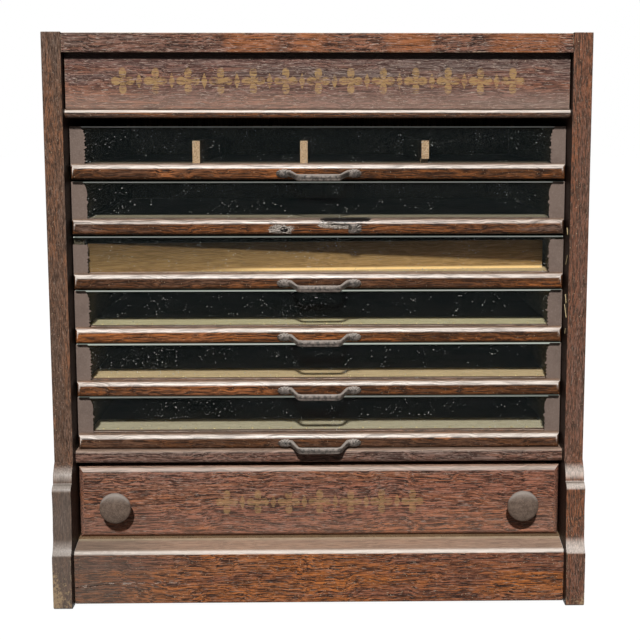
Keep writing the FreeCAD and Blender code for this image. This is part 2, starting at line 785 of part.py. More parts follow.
# Lower drawer front: bevelled all round, ends rabbeted for the sides, grooved for the bottom
lower_front = body("lower_front")
front_face = box_outline(
    lower_front, "front_face", "XZ_Plane", ("-lower_half", "lower_underside"),
    ("lower_half", "lower_underside + lower_front_height"), lift="-deck_front")
front_pad = pad(lower_front, front_face, "front_board", "lower_front_thickness", backward=True)
front_edges = edges_where(front_pad, lambda spot: spot.y < value("deck_front + pane_play"))
bevel = lower_front.newObject("PartDesign::Chamfer", "front_bevel")
bevel.Base = (front_pad, front_edges)
bind(bevel, Size="lower_bevel")
for side in ("left", "right"):
    low, high = "-lower_half - overrun", "-lower_side_inner"
    if side == "right":
        low, high = "lower_side_inner", "lower_half + overrun"
    lap = box_outline(
        lower_front, f"lap_{side}", "XY_Plane", (low, "lower_side_front"),
        (high, "deck_front + lower_front_thickness + overrun"), lift="lower_underside - overrun")
    pocket(lower_front, lap, f"lap_cut_{side}", "lower_front_height + 2 * overrun", backward=True)
bottom_way = box_outline(
    lower_front, "bottom_way", "YZ_Plane",
    ("deck_front + lower_front_thickness - joint_depth", "lower_underside + lower_bottom_rise"),
    ("deck_front + lower_front_thickness + overrun",
     "lower_underside + lower_bottom_rise + lower_bottom_thickness"))
pocket(lower_front, bottom_way, "bottom_groove", "2 * (lower_half + overrun)", symmetric=True)
screw_spots = sketch(lower_front, "screw_spots", "XZ_Plane")
for index, across in enumerate(("-knob_offset", "knob_offset")):
    centre = Vector(value(across), value("knob_height"), 0)
    radius = "knob_screw_radius + knob_screw_play"
    screw_spots.addGeometry(Part.Circle(centre, Vector(0, 0, 1), value(radius)))
    hold(screw_spots, Sketcher.Constraint("Radius", index, value(radius)), f"spot_{index}_radius", radius)
    hold(screw_spots, Sketcher.Constraint("DistanceX", -1, 1, index, 3, value(across)),
         f"spot_{index}_X", across)
    hold(screw_spots, Sketcher.Constraint("DistanceY", -1, 1, index, 3, value("knob_height")),
         f"spot_{index}_Y", "knob_height")
pocket(lower_front, screw_spots, "screw_holes", "2 * (overrun - deck_front)", symmetric=True)
keep(lower_front, "lower_drawer_front")

# Lower drawer sides, grooved for the bottom and the back
lower_side = body("lower_side")
lower_side_face = box_outline(
    lower_side, "lower_side_face", "YZ_Plane", ("lower_side_front", "lower_underside"),
    ("lower_end", "lower_underside + lower_side_height"))
pad(lower_side, lower_side_face, "lower_side_board", "lower_side_thickness")
lower_floor_way = box_outline(
    lower_side, "lower_floor_way", "YZ_Plane",
    ("lower_side_front - overrun", "lower_underside + lower_bottom_rise"),
    ("lower_end + overrun", "lower_underside + lower_bottom_rise + lower_bottom_thickness"),
    lift="lower_side_thickness - joint_depth")
pocket(lower_side, lower_floor_way, "lower_floor_groove", "joint_depth + overrun", backward=True)
shift(lower_side, "-lower_half")
keep(gathered("lower_sides", lower_side, mirrored("lower_side_twin", lower_side)), "lower_drawer_sides")

# Lower drawer bottom, and the back that stands on it
keep(board(
    "lower_bottom",
    ("-lower_side_inner - joint_depth + joint_play", "deck_front + lower_front_thickness - joint_depth",
     "lower_underside + lower_bottom_rise"),
    ("2 * (lower_side_inner + joint_depth - joint_play)",
     "lower_end - deck_front - lower_front_thickness + joint_depth",
     "lower_bottom_thickness")), "lower_drawer_bottom")
keep(board(
    "lower_back",
    ("-lower_side_inner", "lower_end - lower_back_thickness",
     "lower_underside + lower_bottom_rise + lower_bottom_thickness"),
    ("2 * lower_side_inner", "lower_back_thickness",
     "lower_side_height - lower_bottom_rise - lower_bottom_thickness - lower_back_drop")),
    "lower_drawer_back")

# Turned knob, bored for its screw
knob = body("knob")
knob_bore = "knob_screw_radius + knob_screw_play"
knob_profile = outline(knob, "knob_profile", "YZ_Plane", [
    ("0", knob_bore),
    ("0", "knob_neck_radius"),
    ("-knob_neck_length", "knob_neck_radius"),
    ("knob_rim + knob_dome - knob_projection", "knob_radius"),
    ("knob_dome - knob_projection", "knob_radius"),
    ("knob_crown - knob_projection", "knob_crown_radius"),
    ("-knob_projection", "0"),
    ("-knob_screw_bite", "0"),
    ("-knob_screw_bite", knob_bore),
])
turned(knob, knob_profile, "knob_turning")
shift(knob, "knob_offset", "deck_front", "knob_height")
keep(gathered("knobs", knob, mirrored("knob_twin", knob)), "lower_drawer_knobs")

# Knob screws, driven from inside the drawer
screw = body("knob_screw")
screw_profile = outline(screw, "screw_profile", "YZ_Plane", [
    ("lower_front_thickness + screw_head_thickness", "0"),
    ("lower_front_thickness + screw_head_thickness", "screw_head_radius"),
    ("lower_front_thickness", "screw_head_radius"),
    ("lower_front_thickness", "knob_screw_radius"),
    ("-knob_screw_bite + seat_gap", "knob_screw_radius"),
    ("-knob_screw_bite + seat_gap", "0"),
])
turned(screw, screw_profile, "screw_turning")
shift(screw, "knob_offset", "deck_front", "knob_height")
keep(gathered("screws", screw, mirrored("knob_screw_twin", screw)), "knob_screws")

doc.recompute()

for thing in doc.Objects:
    if "Invalid" in thing.State or "Error" in thing.State:
        raise RuntimeError(f"{thing.Name} did not build: {thing.State}")
    if thing.TypeId == "PartDesign::Pocket" and thing.Shape.Volume >= thing.BaseFeature.Shape.Volume:
        raise RuntimeError(f"{thing.Name} cut nothing")
for piece in nodes:
    if piece.Shape.isNull() or not piece.Shape.isValid() or not piece.Shape.Solids:
        raise RuntimeError(f"{piece.Label} has no valid solid")

os.makedirs("parts", exist_ok=True)
for piece in nodes:
    piece.Shape.exportStep(os.path.join("parts", f"{piece.Label}.step"))
print(f"{len(nodes)} nodes, {sum(len(piece.Shape.Solids) for piece in nodes)} solids")
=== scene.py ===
import math

import bpy
from mathutils import Matrix, Vector, noise


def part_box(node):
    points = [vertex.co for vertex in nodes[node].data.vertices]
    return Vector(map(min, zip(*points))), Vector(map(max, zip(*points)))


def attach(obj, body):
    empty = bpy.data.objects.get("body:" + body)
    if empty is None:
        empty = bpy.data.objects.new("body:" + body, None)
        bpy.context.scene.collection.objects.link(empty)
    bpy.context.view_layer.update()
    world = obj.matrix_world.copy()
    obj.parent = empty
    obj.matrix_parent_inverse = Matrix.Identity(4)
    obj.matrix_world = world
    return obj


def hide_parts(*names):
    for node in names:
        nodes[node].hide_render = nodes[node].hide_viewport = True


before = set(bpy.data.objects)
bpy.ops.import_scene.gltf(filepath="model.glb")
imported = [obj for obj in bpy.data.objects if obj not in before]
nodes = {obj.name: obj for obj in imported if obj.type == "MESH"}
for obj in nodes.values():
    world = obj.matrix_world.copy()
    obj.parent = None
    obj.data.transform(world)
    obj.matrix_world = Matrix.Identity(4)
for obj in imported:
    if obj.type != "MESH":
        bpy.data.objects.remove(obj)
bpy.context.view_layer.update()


# The camera stands about 1.26 m in front of the case, a little right of its middle and level with
# the sign board, and looks slightly down. The picture is a crop, so its centre is shifted.
FOCAL_PIXELS = 1200
PICTURE_PIXELS = 640
CENTRE_RIGHT_PIXELS = 29.6
CENTRE_UP_PIXELS = 43.2
CAMERA_PLACE = (0.0096, -1.4526, 0.5219)
DEGREES_DOWN = 7.46
DEGREES_RIGHT = 1.04
camera_data = bpy.data.cameras.new("camera")
camera_data.sensor_width = 36
camera_data.lens = camera_data.sensor_width * FOCAL_PIXELS / PICTURE_PIXELS
camera_data.shift_x = -CENTRE_RIGHT_PIXELS / PICTURE_PIXELS
camera_data.shift_y = -CENTRE_UP_PIXELS / PICTURE_PIXELS
camera = bpy.data.objects.new("camera", camera_data)
camera.location = CAMERA_PLACE
camera.rotation_euler = (math.radians(90 - DEGREES_DOWN), 0, math.radians(-DEGREES_RIGHT))
bpy.context.scene.collection.objects.link(camera)
bpy.context.scene.camera = camera


# Studio: a white floor that runs into a white background, one lamp high in front of the case and a
# little to its left, weak ones behind its front plane for the sides and the back, and a dim surround.
def node(tree, kind, inputs=None, **settings):
    """Add a shader node; inputs maps a socket to a constant or to the socket that feeds it."""
    made = tree.nodes.new("ShaderNode" + kind)
    for name, setting in settings.items():
        setattr(made, name, setting)
    for socket, source in (inputs or {}).items():
        if isinstance(source, bpy.types.NodeSocket):
            tree.links.new(source, made.inputs[socket])
        else:
            made.inputs[socket].default_value = source
    return made


def maths(tree, operation, first, second=0.0):
    return node(tree, "Math", {0: first, 1: second}, operation=operation).outputs[0]


def times(tree, first, second):
    return maths(tree, "MULTIPLY", first, second)


def plus(tree, first, second):
    return maths(tree, "ADD", first, second)


def level(tree, source, low, high):
    """Smooth step from 0 at low to 1 at high."""
    return node(tree, "MapRange", {0: source, 1: low, 2: high}, interpolation_type="SMOOTHSTEP").outputs[0]


def seen_directly(tree):
    """1 for rays from the camera, from gloss and through glass, which show the background."""
    path = node(tree, "LightPath").outputs
    gloss_or_glass = maths(tree, "MAXIMUM", path["Is Glossy Ray"], path["Is Transmission Ray"])
    return maths(tree, "MAXIMUM", path["Is Camera Ray"], gloss_or_glass)


SURROUND_LEVEL = 0.008
world = bpy.data.worlds.new("studio")
world.use_nodes = True
world.node_tree.nodes.clear()
surround = node(world.node_tree, "Background", {"Color": (0.86, 0.93, 1, 1), "Strength": SURROUND_LEVEL})
backdrop = node(world.node_tree, "Background", {"Color": (1, 1, 1, 1), "Strength": 1.0})
sky = node(world.node_tree, "MixShader", {
    0: seen_directly(world.node_tree), 1: surround.outputs[0], 2: backdrop.outputs[0]})
node(world.node_tree, "OutputWorld", {"Surface": sky.outputs[0]})
bpy.context.scene.world = world
bpy.context.scene.view_settings.view_transform = "Standard"

FLOOR_GLOW = 0.94
bpy.ops.mesh.primitive_plane_add(size=30, location=(0, 0, -0.0005))
floor = bpy.context.object
floor.name = "studio_floor"
floor_paint = bpy.data.materials.new("floor_paint")
floor_paint.use_nodes = True
paint = floor_paint.node_tree
paint.nodes.clear()
from_middle = node(
    paint, "VectorMath", {0: node(paint, "TexCoord").outputs["Object"]}, operation="LENGTH").outputs[1]
brighter = times(paint, level(paint, from_middle, 0.5, 3.0), 1 - FLOOR_GLOW)
floor_level = plus(paint, brighter, FLOOR_GLOW)
glow = node(paint, "Emission", {
    "Color": (1, 1, 1, 1), "Strength": times(paint, seen_directly(paint), floor_level)})
matt = node(paint, "BsdfDiffuse", {"Color": (0.09, 0.09, 0.09, 1)})
floor_mix = node(paint, "AddShader", {0: glow.outputs[0], 1: matt.outputs[0]})
node(paint, "OutputMaterial", {"Surface": floor_mix.outputs[0]})
floor.data.materials.append(floor_paint)


def lamp(name, place, aim, size, power, colour):
    """Square area lamp that faces a point."""
    data = bpy.data.lights.new(name, "AREA")
    data.size = size
    data.energy = power
    data.color = colour
    made = bpy.data.objects.new(name, data)
    made.location = place
    made.rotation_euler = (Vector(aim) - Vector(place)).to_track_quat("-Z", "Y").to_euler()
    bpy.context.scene.collection.objects.link(made)


lamp("key", (-0.35, -7.3, 5.87), aim=(0, -0.18, 0.3), size=0.5, power=925, colour=(1, 0.975, 0.94))
for name, place in (("left", (-2.2, 0.5, 1.3)), ("right", (2.2, 0.5, 1.3)), ("back", (0.3, 2.4, 1.6))):
    lamp(name, place, aim=(0, 0.1, 0.3), size=1.2, power=24, colour=(0.95, 0.97, 1))


# Case sides: each sawn from one wide oak board, stained dark red-brown and varnished, with a scroll
# above a projecting foot. The varnish is crazed, greyed on the arrises and worn through at the feet.
# The faces that look up are painted grey and paler, as wear and as painted light, the crests carry a
# painted highlight, and each inner face is painted near black as shade.
def minus(tree, first, second):
    return maths(tree, "SUBTRACT", first, second)


def opposite(tree, share):
    """1 where the share is 0, and 0 where it is 1."""
    return maths(tree, "SUBTRACT", 1.0, share)


def blend(tree, share, first, second):
    """Colour that goes from the first to the second with the share."""
    return node(tree, "Mix", {0: share, 6: first, 7: second}, data_type="RGBA").outputs[2]


def cloud(tree, place, scale, detail, roughness):
    """Cloudy pattern between 0 and 1; scale counts its blots in a metre."""
    return node(tree, "TexNoise", {
        "Vector": place, "Scale": scale, "Detail": detail, "Roughness": roughness}).outputs["Fac"]


def vector(tree, operation, first, second=(0, 0, 0)):
    return node(tree, "VectorMath", {0: first, 1: second}, operation=operation).outputs[0]


def parts_of(tree, source):
    """X, Y and Z of a vector."""
    return node(tree, "SeparateXYZ", {0: source}).outputs


def stretched(tree, place, along):
    """Place drawn out along one axis, so that a pattern on it runs that way."""
    return vector(tree, "MULTIPLY", place, along)


def group(name, inputs, outputs):
    """Empty node group with named sockets, and its inner input and output sockets."""
    tree = bpy.data.node_groups.new(name, "ShaderNodeTree")
    for socket, kind in inputs.items():
        tree.interface.new_socket(name=socket, in_out="INPUT", socket_type=f"NodeSocket{kind}")
    for socket in outputs:
        tree.interface.new_socket(name=socket, in_out="OUTPUT", socket_type="NodeSocketFloat")
    return tree, tree.nodes.new("NodeGroupInput").outputs, tree.nodes.new("NodeGroupOutput").inputs


def use(tree, shared, inputs):
    """Outputs of a shared node group placed in a material."""
    return node(tree, "Group", inputs, node_tree=shared).outputs


# Oak figure, drawn out along the grain: streaks, short dark pores, pale dashes painted as glints, broad
# patches
oak_figure, given, result = group(
    "oak_figure", {"Vector": "Vector", "Along": "Vector"},
    ["Streak", "Pore", "Glint", "Warm patch", "Grey patch"])
sway = times(oak_figure, minus(oak_figure, cloud(oak_figure, given["Vector"], 17, 2, 0.5), 0.5), 0.014)
wavy = vector(oak_figure, "ADD", given["Vector"], sway)
drawn_out = stretched(oak_figure, wavy, given["Along"])
part_of = node(oak_figure, "VectorMath", {0: wavy, 3: 0.045}, operation="SCALE").outputs[0]
short = vector(oak_figure, "ADD", drawn_out, part_of)
elsewhere = vector(oak_figure, "ADD", short, (3.1, 5.7, 1.3))
for socket, place, scale, detail, low, high in (
        ("Streak", drawn_out, 760, 6, 0.4, 0.6), ("Pore", short, 1050, 2, 0.55, 0.6),
        ("Glint", elsewhere, 1250, 2, 0.58, 0.66), ("Warm patch", short, 32, 8, 0.46, 0.6),
        ("Grey patch", short, 34, 7, 0.46, 0.62)):
    pattern = cloud(oak_figure, place, scale, detail, 0.7)
    oak_figure.links.new(level(oak_figure, pattern, low, high), result[socket])

# Wear towards the arrises of a square board, from its middle and half its size
arris_wear, given, result = group(
    "arris_wear", {"Vector": "Vector", "Middle": "Vector", "Half": "Vector", "Width": "Float"}, ["Wear"])
offset = vector(arris_wear, "SUBTRACT", given["Vector"], given["Middle"])
offset = vector(arris_wear, "ABSOLUTE", offset)
depth = vector(arris_wear, "SUBTRACT", given["Half"], offset)
deep = parts_of(arris_wear, depth)
least = maths(arris_wear, "MINIMUM", maths(arris_wear, "MINIMUM", deep[0], deep[1]), deep[2])
most = maths(arris_wear, "MAXIMUM", maths(arris_wear, "MAXIMUM", deep[0], deep[1]), deep[2])
total = plus(arris_wear, plus(arris_wear, deep[0], deep[1]), deep[2])
to_arris = minus(arris_wear, minus(arris_wear, total, least), most)
ragged = level(arris_wear, cloud(arris_wear, given["Vector"], 170, 5, 0.75), 0.42, 0.7)
reach = plus(arris_wear, times(arris_wear, ragged, given["Width"]), 0.00001)
closeness = maths(arris_wear, "DIVIDE", to_arris, reach)
arris_wear.links.new(opposite(arris_wear, level(arris_wear, closeness, 0.7, 1.3)), result["Wear"])

# Dust and dirt: small pale specks and broad smudges
specks, given, result = group("specks", {"Vector": "Vector"}, ["Speck", "Smudge"])
specks.links.new(level(specks, cloud(specks, given["Vector"], 620, 1, 0.4), 0.71, 0.77), result["Speck"])
specks.links.new(level(specks, cloud(specks, given["Vector"], 35, 5, 0.65), 0.45, 0.75), result["Smudge"])


def material(name):
    """Empty material with its node tree and the object's own coordinates."""
    made = bpy.data.materials.new(name)
    made.use_nodes = True
    tree = made.node_tree
    tree.nodes.clear()
    return made, tree, node(tree, "TexCoord").outputs["Object"]


def upward(tree, low, high):
    """0 where a face is upright and 1 where it looks up; low and high are heights of its normal."""
    return level(tree, parts_of(tree, node(tree, "NewGeometry").outputs["Normal"])[2], low, high)


def surface(tree, height, bump, inputs, gloss=0.06):
    """Principled surface with a bump, closed by the material's output."""
    relief = node(tree, "Bump", {"Height": height, "Strength": bump, "Distance": 0.001}).outputs[0]
    shader = node(tree, "BsdfPrincipled", {**inputs, "Specular IOR Level": gloss, "Normal": relief})
    node(tree, "OutputMaterial", {"Surface": shader.outputs[0]})


ALONG_X = (0.036, 1, 1)
ALONG_Y = (1, 0.05, 1)
ALONG_Z = (1, 1, 0.1)
STAIN_DARK = (0.045, 0.023, 0.018, 1)
STAIN_WARM = (0.54, 0.18, 0.05, 1)
VARNISH_GREY = (0.2, 0.165, 0.15, 1)
GLINT_PALE = (0.5, 0.4, 0.34, 1)
RUBBED_AND_LIT = (0.46, 0.33, 0.25, 1)
CREST_HIGHLIGHT = (0.8, 0.72, 0.66, 1)
BARE_WOOD = (0.55, 0.43, 0.29, 1)
PORE_BLACK = (0.012, 0.008, 0.007, 1)


def oak_colour(
        tree, place, part, along, light, dark=STAIN_DARK, warm=0.3, grey=0.5, pores=0.75, ridges=0.35,
        rubbed=0.6, rubbed_tone=RUBBED_AND_LIT, crest=0.5, crest_from=0.1, crest_full=0.35, crest_to=0.75, highlight_breakup_depth=0.4,
        wear=0.6, wear_width=0.002):
    """Colour, height and dirt of stained oak on one piece, with painted glints, faces that look up painted
    paler as wear and as light, and a painted highlight on its crest, where a face starts to look up.
    """
    low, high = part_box(part)
    figure = use(tree, oak_figure, {"Vector": place, "Along": along})
    worn = use(tree, arris_wear, {
        "Vector": place, "Middle": (low + high) / 2, "Half": (high - low) / 2, "Width": wear_width})
    dirt = use(tree, specks, {"Vector": place})
    pale = blend(tree, times(tree, figure["Warm patch"], warm), light, STAIN_WARM)
    pale = blend(tree, times(tree, figure["Grey patch"], grey), pale, VARNISH_GREY)
    colour = blend(tree, figure["Streak"], dark, pale)
    highlight_breakup = plus(tree, times(tree, figure["Streak"], highlight_breakup_depth), 1 - highlight_breakup_depth)
    rise = times(tree, upward(tree, crest_from, crest_full), highlight_breakup)
    top = opposite(tree, upward(tree, crest_to, crest_to + 0.2))
    # Painted light: pale glints, paler faces that look up (partly wear as well) and a highlight on the
    # crest.
    for mask, share, paint in (
            (figure["Pore"], pores, PORE_BLACK), (figure["Glint"], ridges, GLINT_PALE),
            (times(tree, upward(tree, 0.25, 0.8), highlight_breakup), rubbed, rubbed_tone),
            (times(tree, rise, top), crest, CREST_HIGHLIGHT),
            (worn["Wear"], wear, BARE_WOOD), (dirt["Speck"], 0.6, BARE_WOOD)):
        colour = blend(tree, times(tree, mask, share), colour, paint)
    height = minus(tree, times(tree, figure["Streak"], 0.5), figure["Pore"])
    return colour, height, dirt


def varnished(tree, colour, height, dirt, rough, bump, coat=0.0):
    """Thin satin varnish over the wood, duller where it is dirty."""
    roughness = plus(tree, times(tree, dirt["Smudge"], 0.15), rough)
    surface(tree, height, bump, {
        "Base Color": colour, "Roughness": roughness, "Coat Weight": coat, "Coat Roughness": 0.3})


def select_only(piece):
    bpy.ops.object.select_all(action="DESELECT")
    piece.select_set(True)
    bpy.context.view_layer.objects.active = piece


def apply_modifiers(piece):
    select_only(piece)
    for modifier in list(piece.modifiers):
        bpy.ops.object.modifier_apply(modifier=modifier.name)


def finished(piece, name, body, slot, finish, *replaced):
    """Name a new piece, give it its material, hang it on its body and hide the CAD parts it stands for."""
    piece.name = name
    piece.data.materials.clear()
    piece.data.materials.append(finish)
    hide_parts(*replaced)
    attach(piece, body)


def copied(piece, offset=(0, 0, 0)):
    """Copy of a piece, its mesh moved by the offset."""
    made = piece.copy()
    made.data = piece.data.copy()
    made.data.transform(Matrix.Translation(offset))
    bpy.context.scene.collection.objects.link(made)
    return made


def edit_all():
    """Open the active piece's mesh with all of it selected."""
    bpy.ops.object.mode_set(mode="EDIT")
    bpy.ops.mesh.select_all(action="SELECT")


ARRIS_ANGLE = math.radians(50)


def worked(part, body, finish, round_over=0.0007):
    """Dressed copy of a CAD piece, its faces merged and its arrises softened by wear."""
    made = copied(nodes[part])
    select_only(made)
    edit_all()
    bpy.ops.mesh.remove_doubles(threshold=0.00001)
    bpy.ops.mesh.dissolve_limited(angle_limit=math.radians(1))
    bpy.ops.object.mode_set(mode="OBJECT")
    softened = made.modifiers.new("worn_arris", "BEVEL")
    softened.width = round_over
    softened.segments = 2
    softened.limit_method = "ANGLE"
    softened.angle_limit = ARRIS_ANGLE
    apply_modifiers(made)
    bpy.ops.object.shade_smooth_by_angle(angle=ARRIS_ANGLE)
    made.modifiers.new("flat_faces", "WEIGHTED_NORMAL").keep_sharp = True
    apply_modifiers(made)
    finished(made, f"{part}_worked", body, "stained_wood", finish, part)


INNER_FACE = 0.2656
SCUFFED_FACES = (0.272, 0.286)
SCROLL_GREY_AND_LIT = (0.26, 0.235, 0.21, 1)
FADED_GREY = (0.15, 0.125, 0.11, 1)
SCUFFED_WOOD = (0.4, 0.29, 0.175, 1)


def panel_oak(name, part, light, scuffed_to, loss, faded_share, crest):
    """Stained oak, worn down to the wood at the foot, painted paler above as wear and light, and painted
    black as shade on its inner face.
    """
    made, tree, place = material(name)
    colour, height, dirt = oak_colour(
        tree, place, part, ALONG_Z, dark=(0.075, 0.046, 0.033, 1), light=light, warm=0.25,
        grey=0.35, pores=0.55, ridges=0.25, rubbed=0.85, rubbed_tone=SCROLL_GREY_AND_LIT, crest=crest,
        wear_width=0.0013)
    parts = parts_of(tree, place)
    from_middle = maths(tree, "ABSOLUTE", parts[0])
    near_foot = opposite(tree, level(tree, parts[2], 0.0, scuffed_to))
    outer = level(tree, from_middle, *SCUFFED_FACES)
    near_foot = times(tree, near_foot, plus(tree, times(tree, outer, 0.5), 0.5))
    chance = plus(tree, cloud(tree, place, 330, 7, 0.8), times(tree, near_foot, loss))
    faded = times(tree, level(tree, parts[2], 0.16, 0.12), faded_share)
    colour = blend(tree, faded, colour, FADED_GREY)
    bare = level(tree, chance, 0.66, 0.74)
    colour = blend(tree, times(tree, bare, 0.75), colour, SCUFFED_WOOD)
    # Painted shade: the inner face is darkened to near black.
    darkening = opposite(tree, level(tree, from_middle, INNER_FACE, INNER_FACE + 0.0006))
    colour = blend(tree, times(tree, darkening, 0.92), colour, PORE_BLACK)
    varnished(tree, colour, height, dirt, 0.36, 0.25, times(tree, upward(tree, 0.1, 0.4), 0.5))
    return made


for part, light, scuffed_to, loss, faded_share, crest in (
        ("side_panel_left", (0.17, 0.103, 0.073, 1), 0.09, 0.29, 0.5, 0.35),
        ("side_panel_right", (0.24, 0.105, 0.066, 1), 0.025, 0.25, 0.0, 0.55)):
    worked(part, "case", panel_oak(f"{part}_oak", part, light, scuffed_to, loss, faded_share, crest))


# Top board: one oak board, stained like the sides and let in between them. Its stain has worn to orange
# in a few long patches, and its upper arris is scratched pale and carries a painted highlight. Its upper
# face is painted paler, as wear and as painted light.
GLOWING = ((-0.07, 0.03), (-0.008, 0.024), (0.095, 0.03), (0.215, 0.048))
GLOW_ORANGE = (0.5, 0.17, 0.05, 1)


def top_oak(name, part):
    """Stained oak whose stain has worn to orange in a few long patches."""
    made, tree, place = material(name)
    colour, height, dirt = oak_colour(
        tree, place, part, ALONG_X, light=(0.27, 0.14, 0.105, 1), grey=0.8, ridges=0.75, wear_width=0.0011)
    across = parts_of(tree, place)[0]
    wander = times(tree, minus(tree, cloud(tree, place, 45, 4, 0.6), 0.5), 0.04)
    across = plus(tree, across, wander)
    fibres = level(tree, cloud(tree, stretched(tree, place, ALONG_X), 700, 4, 0.7), 0.4, 0.6)
    for middle, half_length in GLOWING:
        off = maths(tree, "ABSOLUTE", minus(tree, across, middle))
        inside = times(tree, level(tree, off, half_length, half_length * 0.4), 0.55)
        colour = blend(tree, times(tree, inside, fibres), colour, GLOW_ORANGE)
    varnished(tree, colour, height, dirt, 0.38, 0.3)
    return made


worked("top_board", "case", top_oak("top_oak", "top_board"))


# Sign board: an oak board set back under the top and glued between the sides. A gilt row of four-leaved
# flowers and lozenges has half worn off it, and a band of painted shadow lies under its upper edge,
# where the top board overhangs it.
GILT = (0.44, 0.28, 0.12, 1)
RUBBED_FACE = (0.5, 0.36, 0.29, 1)
SHADOW_DEPTH = 0.0075
MOTIF_PITCH = 0.034
FLOWER_HALF_HEIGHT = 0.0135
FLOWER_SQUEEZE = 0.9
LOZENGE_HALF_WIDTH = 0.0032
LOZENGE_HALF_HEIGHT = 0.0085


def gilt_band(tree, place, middle, half_length, loss):
    """Mask of a worn row of four-leaved flowers with a lozenge between each pair, along X."""
    parts = parts_of(tree, vector(tree, "SUBTRACT", place, middle))
    along = maths(tree, "ABSOLUTE", parts[0])
    across = maths(tree, "PINGPONG", along, MOTIF_PITCH / 2)
    up = maths(tree, "ABSOLUTE", parts[2])
    from_end = minus(tree, MOTIF_PITCH / 2, across)
    sideways = maths(tree, "DIVIDE", from_end, LOZENGE_HALF_WIDTH)
    upwards = maths(tree, "DIVIDE", up, LOZENGE_HALF_HEIGHT)
    lozenge = opposite(tree, level(tree, plus(tree, sideways, upwards), 0.9, 1.1))
    wide = maths(tree, "POWER", maths(tree, "DIVIDE", across, FLOWER_HALF_HEIGHT * FLOWER_SQUEEZE), 2.0)
    tall = maths(tree, "POWER", maths(tree, "DIVIDE", up, FLOWER_HALF_HEIGHT), 2.0)
    difference = maths(tree, "ABSOLUTE", minus(tree, wide, tall))
    leaf_limit = plus(tree, maths(tree, "POWER", difference, 1.4), 0.001)
    off_flower = maths(tree, "DIVIDE", maths(tree, "POWER", plus(tree, wide, tall), 2.4), leaf_limit)
    flower = opposite(tree, level(tree, off_flower, 0.85, 1.15))
    inside = maths(tree, "LESS_THAN", along, half_length)
    motif = times(tree, maths(tree, "MAXIMUM", lozenge, flower), inside)
    kept = level(tree, cloud(tree, place, 90, 6, 0.7), loss - 0.1, loss + 0.1)
    scuffed = level(tree, cloud(tree, stretched(tree, place, (0.12, 1, 1)), 800, 5, 0.75), 0.42, 0.52)
    return times(tree, motif, times(tree, kept, scuffed))


def gilded_oak(name, part, half_length, loss, gilt_share, shadow_share, rubbed_share, **finish):
    """Stained oak with a worn gilt band along the middle of the piece and painted shadow along its upper
    edge.
    """
    made, tree, place = material(name)
    low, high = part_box(part)
    colour, height, dirt = oak_colour(tree, place, part, ALONG_X, **finish)
    gilt = gilt_band(tree, place, (low + high) / 2, half_length, loss)
    colour = blend(tree, times(tree, gilt, gilt_share), colour, GILT)
    up = parts_of(tree, place)[2]
    rubbed = times(tree, level(tree, up, high.z - 0.03, low.z + 0.004), rubbed_share)
    colour = blend(tree, rubbed, colour, RUBBED_FACE)
    # Painted shadow: a dark band under the upper edge, where the top board shades it.
    darkening = level(tree, up, high.z - SHADOW_DEPTH, high.z - SHADOW_DEPTH + 0.0015)
    colour = blend(tree, times(tree, darkening, shadow_share), colour, PORE_BLACK)
    varnished(tree, colour, height, dirt, 0.38, 0.3)
    return made


worked("sign_board", "case", gilded_oak(
    "sign_oak", "sign_board", half_length=0.2175, loss=0.4, gilt_share=0.8, shadow_share=0.8,
    rubbed_share=0.3, dark=(0.075, 0.038, 0.032, 1), light=(0.25, 0.13, 0.105, 1), grey=0.8, pores=0.6,
    ridges=0.75, wear=0.3, wear_width=0.001))


# Moulding, rail and base board: oak strips across the front, planed and rounded, stained and glued
# between the sides. The moulding's crown and the front arris of the base board carry a painted
# highlight. Dust lies on the sloped upper edge of the base board, and one drying crack runs into it
# from the left, with painted glints along its lip.
NOSING_DARK = (0.028, 0.014, 0.009, 1)
NOSING_BROWN = (0.14, 0.056, 0.022, 1)


def stained_oak(name, part, rough=0.36, bump=0.3, coat=0.0, **finish):
    """Stained and varnished oak for one CAD node, with its grain along X."""
    made, tree, place = material(name)
    varnished(tree, *oak_colour(tree, place, part, ALONG_X, **finish), rough, bump, coat)
    return made


worked("sign_moulding", "case", stained_oak(
    "moulding_oak", "sign_moulding", dark=NOSING_DARK, light=NOSING_BROWN, rubbed=0.25, crest=1.0,
    crest_from=0.02, crest_full=0.24, crest_to=0.62, wear=0.1, rough=0.3, bump=0.08, coat=0.3))
worked("drawer_rail", "case", stained_oak(
    "rail_oak", "drawer_rail", light=(0.29, 0.15, 0.11, 1), warm=0.1, grey=0.6, ridges=0.45, crest=0.1,
    wear=0.15))

CRACK_END = (-0.184, 0.0246)
CRACK_SAG = 0.7
CRACK_HALF_WIDTH = 0.00035
SLOPE_DEPTH = 0.026
SOILED_GREY = (0.13, 0.105, 0.088, 1)
PALE_DUST = (0.55, 0.47, 0.32, 1)


